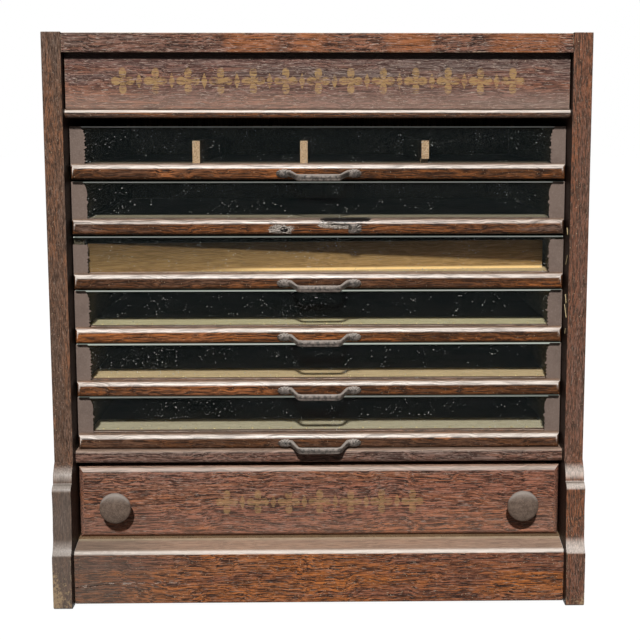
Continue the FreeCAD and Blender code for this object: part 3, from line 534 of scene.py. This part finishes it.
def cracked_oak(name, part):
    """Stained oak with one drying crack that runs in from the left end and curves down, painted glints on
    its lip and a painted highlight on the front arris.
    """
    made, tree, place = material(name)
    colour, height, dirt = oak_colour(
        tree, place, part, ALONG_X, light=(0.32, 0.125, 0.07, 1), warm=1.0, grey=0.3, ridges=0.4,
        rubbed=0.9, crest=1.0, wear=0.3, wear_width=0.0015)
    parts = parts_of(tree, place)
    run = minus(tree, parts[0], CRACK_END[0])
    sag = times(tree, times(tree, run, run), CRACK_SAG)
    wander = times(tree, minus(tree, cloud(tree, place, 120, 5, 0.7), 0.5), 0.006)
    off_line = plus(tree, plus(tree, minus(tree, parts[2], CRACK_END[1]), sag), wander)
    distance = maths(tree, "ABSOLUTE", off_line)
    open_width = times(tree, level(tree, run, 0.03, -0.06), CRACK_HALF_WIDTH)
    crack = maths(tree, "LESS_THAN", distance, open_width)
    lip = times(tree, level(tree, run, 0.05, 0.0), opposite(tree, level(tree, distance, 0.0006, 0.0016)))
    broken = level(tree, cloud(tree, stretched(tree, place, (0.3, 1, 1)), 420, 3, 0.7), 0.52, 0.6)
    soiled = times(tree, level(tree, parts[0], -0.12, -0.26), 0.55)
    colour = blend(tree, soiled, colour, SOILED_GREY)
    inward = minus(tree, parts[1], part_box(part)[0].y)
    # Painted highlight along the front arris of the sloped top.
    arris_highlight = opposite(tree, level(tree, inward, 0.001, 0.006))
    dusty = level(tree, inward, SLOPE_DEPTH - 0.006, SLOPE_DEPTH - 0.001)
    for mask, share, paint in ((arris_highlight, 0.75, CREST_HIGHLIGHT), (dusty, 0.6, PALE_DUST)):
        mask = times(tree, mask, upward(tree, 0.3, 0.6))
        mask = times(tree, mask, plus(tree, times(tree, broken, 0.4), 0.6))
        colour = blend(tree, times(tree, mask, share), colour, paint)
    # Painted glints along the lip of the crack.
    colour = blend(tree, times(tree, lip, broken), colour, GLINT_PALE)
    colour = blend(tree, crack, colour, PORE_BLACK)
    varnished(tree, colour, minus(tree, height, crack), dirt, 0.36, 0.3)
    return made


worked("base_board", "case", cracked_oak("base_oak", "base_board"), round_over=0.0018)


# Back boards, deck and runners: softwood left bare and darkened by age. Five boards are half-lapped in
# a rebate of the sides. The lower drawer runs on the deck and the trays on strips glued to the sides.
def plain_wood(name, along, dark, light):
    made, tree, place = material(name)
    figure = use(tree, oak_figure, {"Vector": place, "Along": along})
    dirt = use(tree, specks, {"Vector": place})
    colour = blend(tree, figure["Streak"], dark, light)
    colour = blend(tree, times(tree, figure["Pore"], 0.4), colour, dark)
    colour = blend(tree, times(tree, dirt["Smudge"], 0.4), colour, dark)
    surface(tree, figure["Streak"], 0.2, {"Base Color": colour, "Roughness": 0.7})
    return made


def dress(part, finish):
    """Give a CAD node its material."""
    nodes[part].data.materials.clear()
    nodes[part].data.materials.append(finish)


BACK_BOARD_WIDTH = 0.1062


def board_wood(name, dark, light):
    """Plain boards side by side, each of its own tone."""
    made, tree, place = material(name)
    figure = use(tree, oak_figure, {"Vector": place, "Along": (1, 1, 0.04)})
    dirt = use(tree, specks, {"Vector": place})
    across = parts_of(tree, place)[0]
    board = maths(tree, "FLOOR", plus(tree, maths(tree, "DIVIDE", across, BACK_BOARD_WIDTH), 0.5))
    tone = node(tree, "TexWhiteNoise", {"W": board}, noise_dimensions="1D").outputs["Value"]
    colour = blend(tree, figure["Streak"], dark, light)
    colour = blend(tree, times(tree, figure["Warm patch"], 0.3), colour, (0.34, 0.2, 0.1, 1))
    colour = blend(tree, times(tree, figure["Pore"], 0.5), colour, dark)
    colour = blend(tree, times(tree, tone, 0.45), colour, dark)
    colour = blend(tree, times(tree, dirt["Smudge"], 0.5), colour, dark)
    surface(tree, figure["Streak"], 0.3, {"Base Color": colour, "Roughness": 0.75})
    return made


rough_boards = board_wood("rough_boards", (0.13, 0.08, 0.045, 1), (0.36, 0.25, 0.155, 1))
dress("back_boards", rough_boards)
dress("case_floor", rough_boards)
dress("runners", plain_wood("runner_wood", ALONG_Y, (0.1, 0.07, 0.04, 1), (0.26, 0.19, 0.11, 1)))


# Tray boxes: thin sides, back and floor of a plain wood. Each floor is painted bright as a strip of
# sunlight behind the pane and painted dark as shade further in. Brass brads pin the floors of the four
# lower trays to their nosings. Three strips divide the first tray, and a loose thin board stands askew
# in the third, with painted shade and a painted strip of sunlight on it.
tray_boards = plain_wood("tray_boards", ALONG_Y, (0.05, 0.042, 0.028, 1), (0.14, 0.12, 0.08, 1))


def divider_wood(name):
    """Pale end grain at the front of the strips, whose sides are painted near black as shade."""
    made, tree, place = material(name)
    figure = use(tree, oak_figure, {"Vector": place, "Along": ALONG_Y})
    backwards = parts_of(tree, node(tree, "NewGeometry").outputs["Normal"])[1]
    ends = blend(tree, figure["Streak"], (0.42, 0.27, 0.15, 1), (0.78, 0.58, 0.37, 1))
    shaded_flanks = blend(tree, figure["Streak"], (0.06, 0.045, 0.03, 1), (0.14, 0.1, 0.065, 1))
    colour = blend(tree, level(tree, backwards, -0.8, -0.5), ends, shaded_flanks)
    surface(tree, figure["Streak"], 0.2, {"Base Color": colour, "Roughness": 0.6})
    return made


def loose_wood(name, part):
    """Clear yellow wood with painted shade towards its upper edge and its left end, and a painted strip of
    sunlight along its lower edge.
    """
    made, tree, place = material(name)
    low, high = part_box(part)
    figure = use(tree, oak_figure, {"Vector": place, "Along": ALONG_X})
    parts = parts_of(tree, place)
    colour = blend(tree, figure["Streak"], (0.26, 0.165, 0.065, 1), (0.4, 0.26, 0.108, 1))
    painted_shade = blend(tree, figure["Streak"], (0.09, 0.055, 0.022, 1), (0.16, 0.1, 0.042, 1))
    lighter_to_right = times(tree, level(tree, parts[0], -0.28, 0.15), 0.6)
    painted_light_share = plus(tree, lighter_to_right, times(tree, level(tree, parts[2], high.z, low.z), 0.7))
    colour = blend(tree, painted_light_share, painted_shade, colour)
    lower_edge = level(tree, parts[2], low.z + 0.0035, low.z + 0.0015)
    sunlit_edge = times(tree, lower_edge, level(tree, parts[0], -0.14, -0.04))
    colour = blend(tree, sunlit_edge, colour, (1.0, 0.74, 0.36, 1))
    surface(tree, figure["Streak"], 0.1, {"Base Color": colour, "Roughness": 0.6})
    return made


LIT_FLOOR_TONES = {
    1: (0.2, 0.17, 0.12), 2: (0.42, 0.38, 0.27), 3: (0.92, 0.74, 0.43), 4: (0.84, 0.79, 0.5),
    5: (0.95, 0.76, 0.45), 6: (0.78, 0.73, 0.52)}
LIT_STRIP_DEPTH = 0.041


def floor_wood(name, tone, front):
    """Board painted bright as a strip of sunlight behind the pane and painted dark as shade further in."""
    made, tree, place = material(name)
    figure = use(tree, oak_figure, {"Vector": place, "Along": ALONG_X})
    dirt = use(tree, specks, {"Vector": place})
    colour = blend(tree, figure["Streak"], (tone[0] * 0.72, tone[1] * 0.7, tone[2] * 0.66, 1), (*tone, 1))
    grey = blend(tree, dirt["Smudge"], (0.09, 0.08, 0.06, 1), (0.05, 0.045, 0.036, 1))
    inward = minus(tree, parts_of(tree, place)[1], front)
    colour = blend(tree, level(tree, inward, LIT_STRIP_DEPTH - 0.004, LIT_STRIP_DEPTH + 0.01), colour, grey)
    surface(tree, figure["Streak"], 0.2, {"Base Color": colour, "Roughness": 0.7})
    return made


for number in range(1, 7):
    part = f"tray_{number}_floor"
    dress(f"tray_{number}_sides", tray_boards)
    dress(f"tray_{number}_back", tray_boards)
    dress(part, floor_wood(f"floor_board_{number}", LIT_FLOOR_TONES[number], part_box(part)[0].y))
dress("tray_1_dividers", divider_wood("divider_wood"))
dress("tray_3_loose_board", loose_wood("loose_wood", "tray_3_loose_board"))

BRAD_RADIUS = 0.0014
BRAD_FLATNESS = 0.6
BRAD_SET_BACK = 0.004
BRAD_END_MARGIN = 0.012
BRAD_GAPS = (0.021, 0.016, 0.026, 0.019, 0.024, 0.017)


def aged_brass(name):
    made, tree, place = material(name)
    darkening = level(tree, cloud(tree, place, 900, 2, 0.6), 0.4, 0.65)
    colour = blend(tree, darkening, (0.95, 0.82, 0.45, 1), (0.5, 0.4, 0.2, 1))
    surface(tree, darkening, 0.2, {"Base Color": colour, "Roughness": 0.4, "Metallic": 0.3})
    return made


def shape(add, **settings):
    """New mesh of a simple kind, its place, turn and scale taken into its points."""
    bpy.ops.object.select_all(action="DESELECT")
    add(**settings)
    bpy.ops.object.transform_apply(location=True, rotation=True, scale=True)
    return bpy.context.object


def join(pieces):
    """Join pieces into the first of them."""
    bpy.ops.object.select_all(action="DESELECT")
    for piece in pieces:
        piece.select_set(True)
    bpy.context.view_layer.objects.active = pieces[0]
    bpy.ops.object.join()
    return bpy.context.object


brass = aged_brass("aged_brass")
for number in range(3, 7):
    low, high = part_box(f"tray_{number}_floor")
    heads = []
    across = low.x + BRAD_GAPS[number - 1]
    while across < high.x - BRAD_END_MARGIN:
        heads.append(shape(
            bpy.ops.mesh.primitive_uv_sphere_add, segments=10, ring_count=6, radius=BRAD_RADIUS,
            location=(across, low.y + BRAD_SET_BACK, high.z), scale=(1, 1, BRAD_FLATNESS)))
        bpy.ops.object.shade_smooth()
        across += BRAD_GAPS[(number + len(heads)) % len(BRAD_GAPS)]
    brads = join(heads)
    brads.name = f"tray_{number}_brads"
    brads.data.materials.append(brass)
    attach(brads, f"tray_{number}")


# Nosings: oak bars with a rounded front and a glossy coat on top, where a painted highlight runs along
# the crown; the second is torn along the grain where its pull broke away, round the empty screw hole
# and beside the stub
TORN_OUT = (
    (-0.0405, 0.4058, 0.0155, 0.0062), (0.02, 0.4098, 0.0185, 0.0042), (0.006, 0.4108, 0.008, 0.004))
HOLE = (-0.0372, 0.4052, 0.0048, 0.0031)
SLIT = (0.029, 0.416, 0.031, 0.0034)
NOSING_FACE = -0.174
TOP_ROUND = 0.006
TOP_ROUND_FROM = 0.4107
SPLINTER_ROOT = 0.0007
SPLINTER_TIP = 0.0001
SPLINTER_FLATNESS = 0.5
SPLINTERS = (
    (-0.0485, 0.4072, 0.009, 0.0008, 8), (-0.0475, 0.4035, 0.011, 0.001, -6),
    (-0.036, 0.4068, 0.008, 0.0008, -12), (-0.0345, 0.4018, 0.009, 0.0006, 9),
    (0.006, 0.4142, 0.012, 0.0009, 14), (0.015, 0.4128, 0.013, 0.0007, 4),
    (0.026, 0.4098, 0.014, 0.0008, -5), (0.031, 0.4068, 0.011, 0.0006, 3))


def splintered(tree, place):
    """Colour of freshly split oak: pale fibres with black between them."""
    fibres = level(tree, cloud(tree, stretched(tree, place, (0.22, 1, 1)), 1500, 4, 0.8), 0.42, 0.58)
    return blend(tree, fibres, (0.03, 0.024, 0.02, 1), (0.62, 0.55, 0.49, 1)), fibres


def oval(tree, parts, across, up, half_length, half_height):
    """Square of the distance from the middle of an upright oval, 1 on its outline."""
    sideways = maths(tree, "DIVIDE", minus(tree, parts[0], across), half_length)
    upwards = maths(tree, "DIVIDE", minus(tree, parts[2], up), half_height)
    return plus(tree, times(tree, sideways, sideways), times(tree, upwards, upwards))


def nosing_oak(name, part, tears, openings, bump, **finish):
    """Dark varnished oak with a glossy coat and a painted highlight on its crown, torn to bare fibres in
    some ovals and open in others.
    """
    made, tree, place = material(name)
    colour, height, dirt = oak_colour(
        tree, place, part, ALONG_X, dark=NOSING_DARK, light=NOSING_BROWN, pores=0.4, ridges=0.1,
        crest_from=0.02, crest_full=0.34, crest_to=0.72, wear=0.1, **finish)
    bare, fibres = splintered(tree, place)
    parts = parts_of(tree, place)
    ragged = times(tree, cloud(tree, stretched(tree, place, (0.35, 1, 1)), 520, 5, 0.8), 1.6)
    for tear in tears:
        away = maths(tree, "SQRT", oval(tree, parts, *tear))
        torn = opposite(tree, level(tree, plus(tree, away, ragged), 1.5, 1.75))
        colour = blend(tree, torn, colour, bare)
        height = plus(tree, height, times(tree, torn, times(tree, fibres, 2.0)))
    for opening in openings:
        inside = opposite(tree, level(tree, plus(tree, oval(tree, parts, *opening), ragged), 1.5, 1.7))
        colour = blend(tree, inside, colour, PORE_BLACK)
    varnished(tree, colour, height, dirt, 0.3, bump, times(tree, upward(tree, 0.0, 0.25), 0.45))
    return made


SOUND = {"tears": (), "openings": (), "bump": 0.08, "warm": 0.75, "grey": 0.2, "crest": 1.0, "highlight_breakup_depth": 0.65}
DAMAGED = {
    "tears": TORN_OUT, "openings": (HOLE, SLIT), "bump": 0.3, "warm": 0.3, "grey": 0.6, "crest": 0.75,
    "highlight_breakup_depth": 0.8}
for number in range(1, 7):
    part = f"tray_{number}_nosing"
    state = DAMAGED if number == 2 else SOUND
    worked(part, f"tray_{number}", nosing_oak(f"nosing_oak_{number}", part, **state), round_over=0.0004)

split_oak, tree, place = material("split_oak")
bare, fibres = splintered(tree, place)
surface(tree, fibres, 0.4, {"Base Color": bare, "Roughness": 0.7})
for number, (across, up, length, lift, turn) in enumerate(SPLINTERS, 1):
    above_flat = max(0, up - TOP_ROUND_FROM)
    front = NOSING_FACE + TOP_ROUND - math.sqrt(TOP_ROUND ** 2 - above_flat ** 2)
    sliver = shape(
        bpy.ops.mesh.primitive_cone_add, vertices=5, radius1=SPLINTER_ROOT, radius2=SPLINTER_TIP,
        depth=length, location=(across, front, up), rotation=(0, math.radians(90 + turn), 0))
    for vertex in sliver.data.vertices:
        beyond = vertex.co.x - across
        raised = lift * (beyond / length + 0.5) ** 2 if beyond > 0 else 0
        vertex.co.y = front + (vertex.co.y - front) * SPLINTER_FLATNESS - raised
    finished(sliver, f"tray_2_splinter_{number}", "tray_2", "stained_wood", split_oak)


# Straw: a few dry stalks, bent and bleached, that have stuck to the inner face of the right side. They
# stay with the case when the trays slide.
STALK_RADIUS = 0.0004
STALK_ACROSS = 0.26505
STALK_BACK = -0.181
STALK_BOW = 20
STALKS = (
    (0.404, 0.007, 25), (0.373, 0.011, -38), (0.331, 0.009, 32), (0.318, 0.013, 40), (0.296, 0.006, -28))

straw, tree, place = material("straw")
fibres = level(tree, cloud(tree, stretched(tree, place, ALONG_Z), 2500, 3, 0.7), 0.4, 0.6)
colour = blend(tree, fibres, (0.35, 0.25, 0.12, 1), (0.75, 0.62, 0.38, 1))
surface(tree, fibres, 0.2, {"Base Color": colour, "Roughness": 0.6})
stalks = []
for up, length, tilt in STALKS:
    stalk = shape(
        bpy.ops.mesh.primitive_cylinder_add, vertices=6, radius=STALK_RADIUS, depth=length,
        location=(STALK_ACROSS, STALK_BACK, up))
    for vertex in stalk.data.vertices:
        rise = vertex.co.z - up
        vertex.co.y += rise * math.tan(math.radians(tilt)) + STALK_BOW * rise ** 2
    stalks.append(stalk)
stalks = join(stalks)
stalks.name = "straw_stalks"
stalks.data.materials.append(straw)
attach(stalks, "case")


# Panes: old window glass, greenish and dusty, standing in a groove behind each nosing. The ground upper
# edge is pale and glows with a painted emission that stands for gathered daylight, in some panes more
# than in others.
EDGE_HEIGHT = 0.0012
EDGE_LIGHTS = (0.01, 0.12, 0.16, 0.34, 0.42, 0.16)


def pane_glass(name, top, edge_light):
    made, tree, place = material(name)
    edge = maths(tree, "GREATER_THAN", parts_of(tree, place)[2], top - EDGE_HEIGHT)
    smear = level(tree, cloud(tree, stretched(tree, place, (0.3, 1, 1)), 210, 6, 0.75), 0.5, 0.72)
    grain = level(tree, cloud(tree, place, 620, 0, 0), 0.75, 0.8)
    grain = times(tree, grain, level(tree, cloud(tree, place, 60, 3, 0.6), 0.42, 0.6))
    veil = plus(tree, times(tree, grain, 0.85), times(tree, smear, 0.016))
    dust = maths(tree, "MAXIMUM", grain, times(tree, smear, 0.12))
    colour = blend(tree, dust, (0.01, 0.02, 0.022, 1), (0.55, 0.56, 0.52, 1))
    colour = blend(tree, edge, colour, (0.42, 0.45, 0.41, 1))
    opaque = maths(tree, "MAXIMUM", plus(tree, veil, 0.07), edge)
    # Painted glow: the upper edge emits light though it is no lamp.
    light_in_edge = blend(tree, edge, (0, 0, 0, 1), (0.9 * edge_light, edge_light, 0.87 * edge_light, 1))
    shader = node(tree, "BsdfPrincipled", {
        "Base Color": colour, "Roughness": 0.08, "Alpha": opaque, "Emission Color": light_in_edge,
        "Emission Strength": 1.0})
    node(tree, "OutputMaterial", {"Surface": shader.outputs[0]})
    return made


for number, edge_light in enumerate(EDGE_LIGHTS, 1):
    part = f"tray_{number}_glass"
    dress(part, pane_glass(f"pane_glass_{number}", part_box(part)[1].z, edge_light))


# Corner plates: thin tinned iron, cut with snips to a bracket shape and folded round the tray side,
# where they hold the end of the pane. Some have small teeth, and the third tray's are torn off at the top.
def tarnished_tin(name):
    made, tree, place = material(name)
    dirt = use(tree, specks, {"Vector": place})
    grit = cloud(tree, place, 1000, 3, 0.7)
    colour = blend(tree, dirt["Smudge"], (0.185, 0.139, 0.118, 1), (0.14, 0.105, 0.09, 1))
    colour = blend(tree, times(tree, level(tree, grit, 0.5, 0.62), 0.55), colour, (0.27, 0.21, 0.18, 1))
    surface(tree, grit, 0.15, {"Base Color": colour, "Roughness": 0.55, "Metallic": 0.1})
    return made


LOOSE_BY = 0.0001
TIN_THICKNESS = 0.0006
LEAF_REACH = 0.0182
LEAF_NOTCH = 0.0022
LEAF_SHOULDER = 0.0034
LOWER_SWELL = 0.0004
UPPER_SWELL = 0.0022
POINT_SHARE = 0.48
POINT_HALF_SHARE = 0.06
TORN = {(3, -1): 0.0085, (3, 1): 0.0036}
TOOTHED = (1, 3, 4, 5)
TOOTH_PITCH = 0.0036
TOOTH_DEPTH = 0.0016
SNIP_WAVER = 0.0008
SNIP_JITTER = 0.0006
TEAR_WAVER = 0.0009


def leaf_width(share):
    """Width of a corner leaf at a share of its height: two lobes with a point between them."""
    if share < POINT_SHARE - POINT_HALF_SHARE:
        return LEAF_REACH - LEAF_NOTCH + LOWER_SWELL * math.sin(math.pi * share / POINT_SHARE)
    if share < POINT_SHARE + POINT_HALF_SHARE:
        return LEAF_REACH - LEAF_NOTCH * abs(share - POINT_SHARE) / POINT_HALF_SHARE
    above = (share - POINT_SHARE - POINT_HALF_SHARE) / (1 - POINT_SHARE - POINT_HALF_SHARE)
    return LEAF_REACH - LEAF_NOTCH - LEAF_SHOULDER * above + UPPER_SWELL * math.sin(math.pi * above)


def face_outward():
    """Turn the faces of the active piece outward."""
    edit_all()
    bpy.ops.mesh.normals_make_consistent(inside=False)
    bpy.ops.object.mode_set(mode="OBJECT")


tin = tarnished_tin("tarnished_tin")
for number in range(1, 7):
    part = f"tray_{number}_corner_plates"
    low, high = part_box(part)
    full_height = high.z - low.z
    halves = []
    for side in (-1, 1):
        height = full_height - TORN.get((number, side), 0)
        leaf = shape(
            bpy.ops.mesh.primitive_grid_add, x_subdivisions=6, y_subdivisions=64, size=1,
            rotation=(math.pi / 2, 0, 0), location=(0, low.y, low.z))
        for vertex in leaf.data.vertices:
            along = vertex.co.x + 0.5
            share = vertex.co.z - low.z + 0.5
            spot = Vector((side * 9 + number, share * 40, 0))
            tooth = abs(share * height / TOOTH_PITCH % 1 - 0.5) * 2 * TOOTH_DEPTH * (number in TOOTHED)
            rough_cut = noise.noise(spot) * SNIP_WAVER + noise.noise(spot * 2.7) * SNIP_JITTER - tooth
            width = leaf_width(share * height / full_height) + rough_cut
            torn_here = share > 0.99 and height < full_height
            torn_edge = noise.noise(Vector((along * 9, number, side))) * torn_here
            vertex.co.x = side * (high.x - width * along)
            vertex.co.z = low.z + share * height + TEAR_WAVER * torn_edge
            dent = noise.noise(Vector((along * 3, share * 5, number + side)))
            vertex.co.y += LOOSE_BY + LOOSE_BY * dent
        sheet = leaf.modifiers.new("sheet", "SOLIDIFY")
        sheet.thickness = TIN_THICKNESS
        sheet.offset = side
        apply_modifiers(leaf)
        flank = shape(
            bpy.ops.mesh.primitive_cube_add, size=1, scale=(TIN_THICKNESS, high.y - low.y, height),
            location=(side * (high.x - TIN_THICKNESS / 2), (low.y + high.y) / 2, low.z + height / 2))
        halves += [leaf, flank]
    plates = join(halves)
    face_outward()
    finished(plates, f"tray_{number}_tin_corners", f"tray_{number}", "tin_plate", tin, part)


# Pulls: cast iron, a bar with two bends between bosses fluted like shells, each boss held by one screw.
# The bar hangs a little lower than its bosses. Of the second tray's pull only the right boss is left.
def cast_iron(name):
    made, tree, place = material(name)
    grit = cloud(tree, place, 1100, 4, 0.7)
    rub = cloud(tree, place, 240, 4, 0.65)
    colour = blend(tree, level(tree, rub, 0.36, 0.6), (0.03, 0.025, 0.021, 1), (0.165, 0.136, 0.118, 1))
    # Painted highlight: faces that look up are painted pale.
    colour = blend(tree, times(tree, upward(tree, 0.4, 0.9), 0.8), colour, (0.52, 0.47, 0.43, 1))
    surface(tree, grit, 0.4, {"Base Color": colour, "Roughness": 0.42, "Metallic": 0.2}, gloss=0.35)
    return made


BAR_HALF = 0.0026
GRIP_HALF = 0.0175
BEND_RADIUS = 0.007
BEND_ANGLE = math.radians(65)
BOSS_SPACING = 0.0373
BOSS_HALF_WIDTH = 0.0085
BOSS_RISE = 0.0044
BOSS_HALF_HEIGHT = 0.0048
BOSS_FLUTES = 13
FLUTE_DEPTH = 0.16
FLAT_ANGLE = 22
FLAT_REACH = 6
FLAT_DEPTH = 0.0009
ARM_STEPS = 3
ARM_FLARE = 1.12
CASTING_VOXEL = 0.0005
DROP = 0.0034
DROP_FROM = 0.031
DROP_TO = 0.021
BAR_SWELL = 0.4

iron = cast_iron("cast_iron")
low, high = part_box("tray_6_pull")
pull_middle = (low.z + high.z) / 2
face = high.y
bar_middle = low.y + BAR_HALF


def fluted_boss(across):
    """Half of a flattened ball on the face, its rim drawn in between the ribs."""
    middle = Vector((across, face, pull_middle))
    boss = shape(
        bpy.ops.mesh.primitive_uv_sphere_add, segments=4 * BOSS_FLUTES, ring_count=20, radius=1,
        location=middle, rotation=(math.pi / 2, 0, 0), scale=(BOSS_HALF_WIDTH, BOSS_HALF_HEIGHT, BOSS_RISE))
    for vertex in boss.data.vertices:
        out = vertex.co - middle
        around = Vector((out.x / BOSS_HALF_WIDTH, out.z / BOSS_HALF_HEIGHT))
        ripple = max(0, math.cos(math.atan2(around.y, around.x) * BOSS_FLUTES))
        vertex.co = middle + out * (1 - ripple * min(around.length, 1) * FLUTE_DEPTH)
    edit_all()
    bpy.ops.mesh.bisect(plane_co=(0, face, 0), plane_no=(0, 1, 0), clear_outer=True, use_fill=True)
    bpy.ops.object.mode_set(mode="OBJECT")
    return boss


bar = shape(
    bpy.ops.mesh.primitive_circle_add, vertices=16, radius=BAR_HALF, location=(0, bar_middle, pull_middle),
    rotation=(0, math.pi / 2, 0))
for vertex in bar.data.vertices:
    rise = math.degrees(math.atan2(vertex.co.z - pull_middle, bar_middle - vertex.co.y))
    if abs(rise + FLAT_ANGLE) < FLAT_REACH:
        vertex.co.y += FLAT_DEPTH
edit_all()
bpy.ops.mesh.extrude_region_move(TRANSFORM_OT_translate={"value": (GRIP_HALF, 0, 0)})
bpy.ops.mesh.spin(
    steps=8, angle=BEND_ANGLE, center=(GRIP_HALF, bar_middle + BEND_RADIUS, pull_middle), axis=(0, 0, -1))
arm_length = (face - bar_middle - BEND_RADIUS * (1 - math.cos(BEND_ANGLE))) / math.sin(BEND_ANGLE)
arm_step = Vector((math.cos(BEND_ANGLE), math.sin(BEND_ANGLE), 0)) * arm_length / ARM_STEPS
for step in range(ARM_STEPS):
    bpy.ops.mesh.extrude_region_move(TRANSFORM_OT_translate={"value": arm_step})
    bpy.ops.transform.resize(value=(ARM_FLARE, 1, ARM_FLARE))
bpy.ops.mesh.select_all(action="SELECT")
bpy.ops.mesh.bisect(plane_co=(0, face, 0), plane_no=(0, 1, 0), clear_outer=True)
bpy.ops.mesh.edge_face_add()
bpy.ops.object.mode_set(mode="OBJECT")
for vertex in bar.data.vertices:
    lowered = min(max((DROP_FROM - vertex.co.x) / (DROP_FROM - DROP_TO), 0), 1)
    lowered *= lowered * (3 - 2 * lowered)
    vertex.co.z = pull_middle + (vertex.co.z - pull_middle) * (1 + BAR_SWELL * lowered) - DROP * lowered
mirror = bar.modifiers.new("other_half", "MIRROR")
mirror.use_clip = True
apply_modifiers(bar)
casting = join([bar, fluted_boss(-BOSS_SPACING), fluted_boss(BOSS_SPACING)])
face_outward()
fused = casting.modifiers.new("fused", "REMESH")
fused.mode = "VOXEL"
fused.voxel_size = CASTING_VOXEL
apply_modifiers(casting)
bpy.ops.object.shade_smooth()

SCREW_RADIUS = 0.0019
SCREW_HEIGHT = 0.0014
SLOT_HALF_WIDTH = 0.0003
SLOT_DEPTH = 0.0005
screws = []
for across in (-BOSS_SPACING, BOSS_SPACING):
    screw = shape(
        bpy.ops.mesh.primitive_cylinder_add, vertices=20, radius=SCREW_RADIUS, depth=SCREW_HEIGHT,
        location=(across, face - BOSS_RISE, pull_middle), rotation=(math.pi / 2, 0, 0))
    bpy.ops.object.mode_set(mode="EDIT")
    for side in (-1, 1):
        bpy.ops.mesh.select_all(action="SELECT")
        bpy.ops.mesh.bisect(plane_co=(across + side * SLOT_HALF_WIDTH, 0, 0), plane_no=(1, 0, 0))
    bpy.ops.mesh.select_all(action="DESELECT")
    bpy.ops.object.mode_set(mode="OBJECT")
    for polygon in screw.data.polygons:
        polygon.select = polygon.normal.y < -0.9 and abs(polygon.center.x - across) < SLOT_HALF_WIDTH / 2
    bpy.ops.object.mode_set(mode="EDIT")
    bpy.ops.mesh.select_mode(type="FACE")
    bpy.ops.mesh.extrude_region_move(TRANSFORM_OT_translate={"value": (0, SLOT_DEPTH, 0)})
    bpy.ops.mesh.select_mode(type="VERT")
    bpy.ops.object.mode_set(mode="OBJECT")
    screws.append(screw)
casting = join([casting] + screws)
casting.data.materials.clear()

for number in (1, 3, 4, 5, 6):
    part = f"tray_{number}_pull"
    low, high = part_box(part)
    pull = copied(casting, (0, 0, (low.z + high.z) / 2 - pull_middle))
    finished(pull, f"tray_{number}_iron_pull", f"tray_{number}", "cast_iron", iron, part)
bpy.data.objects.remove(casting)
dress("tray_2_pull", iron)


# Lower drawer: an oak front with bevelled edges, stained like the case, over a deep box of plain wood.
# Traces of the sign board's gilt row are left on the middle of the front.
worked("lower_drawer_front", "lower_drawer", gilded_oak(
    "drawer_front_oak", "lower_drawer_front", half_length=0.1155, loss=0.36, gilt_share=0.5,
    shadow_share=0.0, rubbed_share=0.12, light=(0.4, 0.165, 0.105, 1), warm=0.55, grey=0.35, ridges=0.5,
    wear=0.2, wear_width=0.0012))
for part in ("lower_drawer_sides", "lower_drawer_bottom", "lower_drawer_back"):
    dress(part, tray_boards)


# Knobs: turned from one piece of hardwood each and left bare, grey with handling. A steel screw holds
# each of them from inside the drawer.
def turned_wood(name):
    made, tree, place = material(name)
    mottle = level(tree, cloud(tree, place, 260, 6, 0.75), 0.38, 0.62)
    speckle = level(tree, cloud(tree, place, 1500, 2, 0.6), 0.55, 0.68)
    colour = blend(tree, mottle, (0.105, 0.074, 0.058, 1), (0.175, 0.127, 0.1, 1))
    colour = blend(tree, times(tree, speckle, 0.3), colour, (0.36, 0.29, 0.24, 1))
    # Painted highlight: the faces of the knob that look up are painted paler.
    colour = blend(tree, times(tree, upward(tree, 0.1, 0.5), 0.6), colour, (0.4, 0.36, 0.33, 1))
    surface(tree, mottle, 0.12, {"Base Color": colour, "Roughness": 0.42})
    return made


KNOB_RADIUS = 0.017
KNOB_RINGS = (
    (0.0, 0.0088), (0.003, 0.0078), (0.0095, 0.008), (0.013, 0.0102), (0.0156, 0.0142), (0.017, 0.0164),
    (0.0185, KNOB_RADIUS), (0.0198, 0.0168), (0.0209, 0.0159), (0.0218, 0.0138), (0.0228, 0.0105),
    (0.0236, 0.006), (0.0239, 0.002))
low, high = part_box("lower_drawer_knobs")
knob_centre = Vector((high.x - KNOB_RADIUS, high.y, (low.z + high.z) / 2))
knob = shape(
    bpy.ops.mesh.primitive_circle_add, vertices=64, radius=KNOB_RINGS[0][1], location=knob_centre,
    rotation=(math.pi / 2, 0, 0))
edit_all()
for (reach, radius), (next_reach, next_radius) in zip(KNOB_RINGS, KNOB_RINGS[1:]):
    bpy.ops.mesh.extrude_region_move(TRANSFORM_OT_translate={"value": (0, reach - next_reach, 0)})
    ratio = next_radius / radius
    bpy.ops.transform.resize(value=(ratio, 1, ratio), center_override=knob_centre)
bpy.ops.mesh.edge_face_add()
bpy.ops.object.mode_set(mode="OBJECT")
face_outward()
bpy.ops.object.shade_smooth_by_angle(angle=math.radians(40))
left_knob = copied(knob, (-2 * knob_centre.x, 0, 0))
knob_wood = turned_wood("knob_wood")
for piece, name in ((left_knob, "turned_knob_left"), (knob, "turned_knob_right")):
    finished(piece, name, "lower_drawer", "knob_wood", knob_wood, "lower_drawer_knobs")
dress("knob_screws", iron)
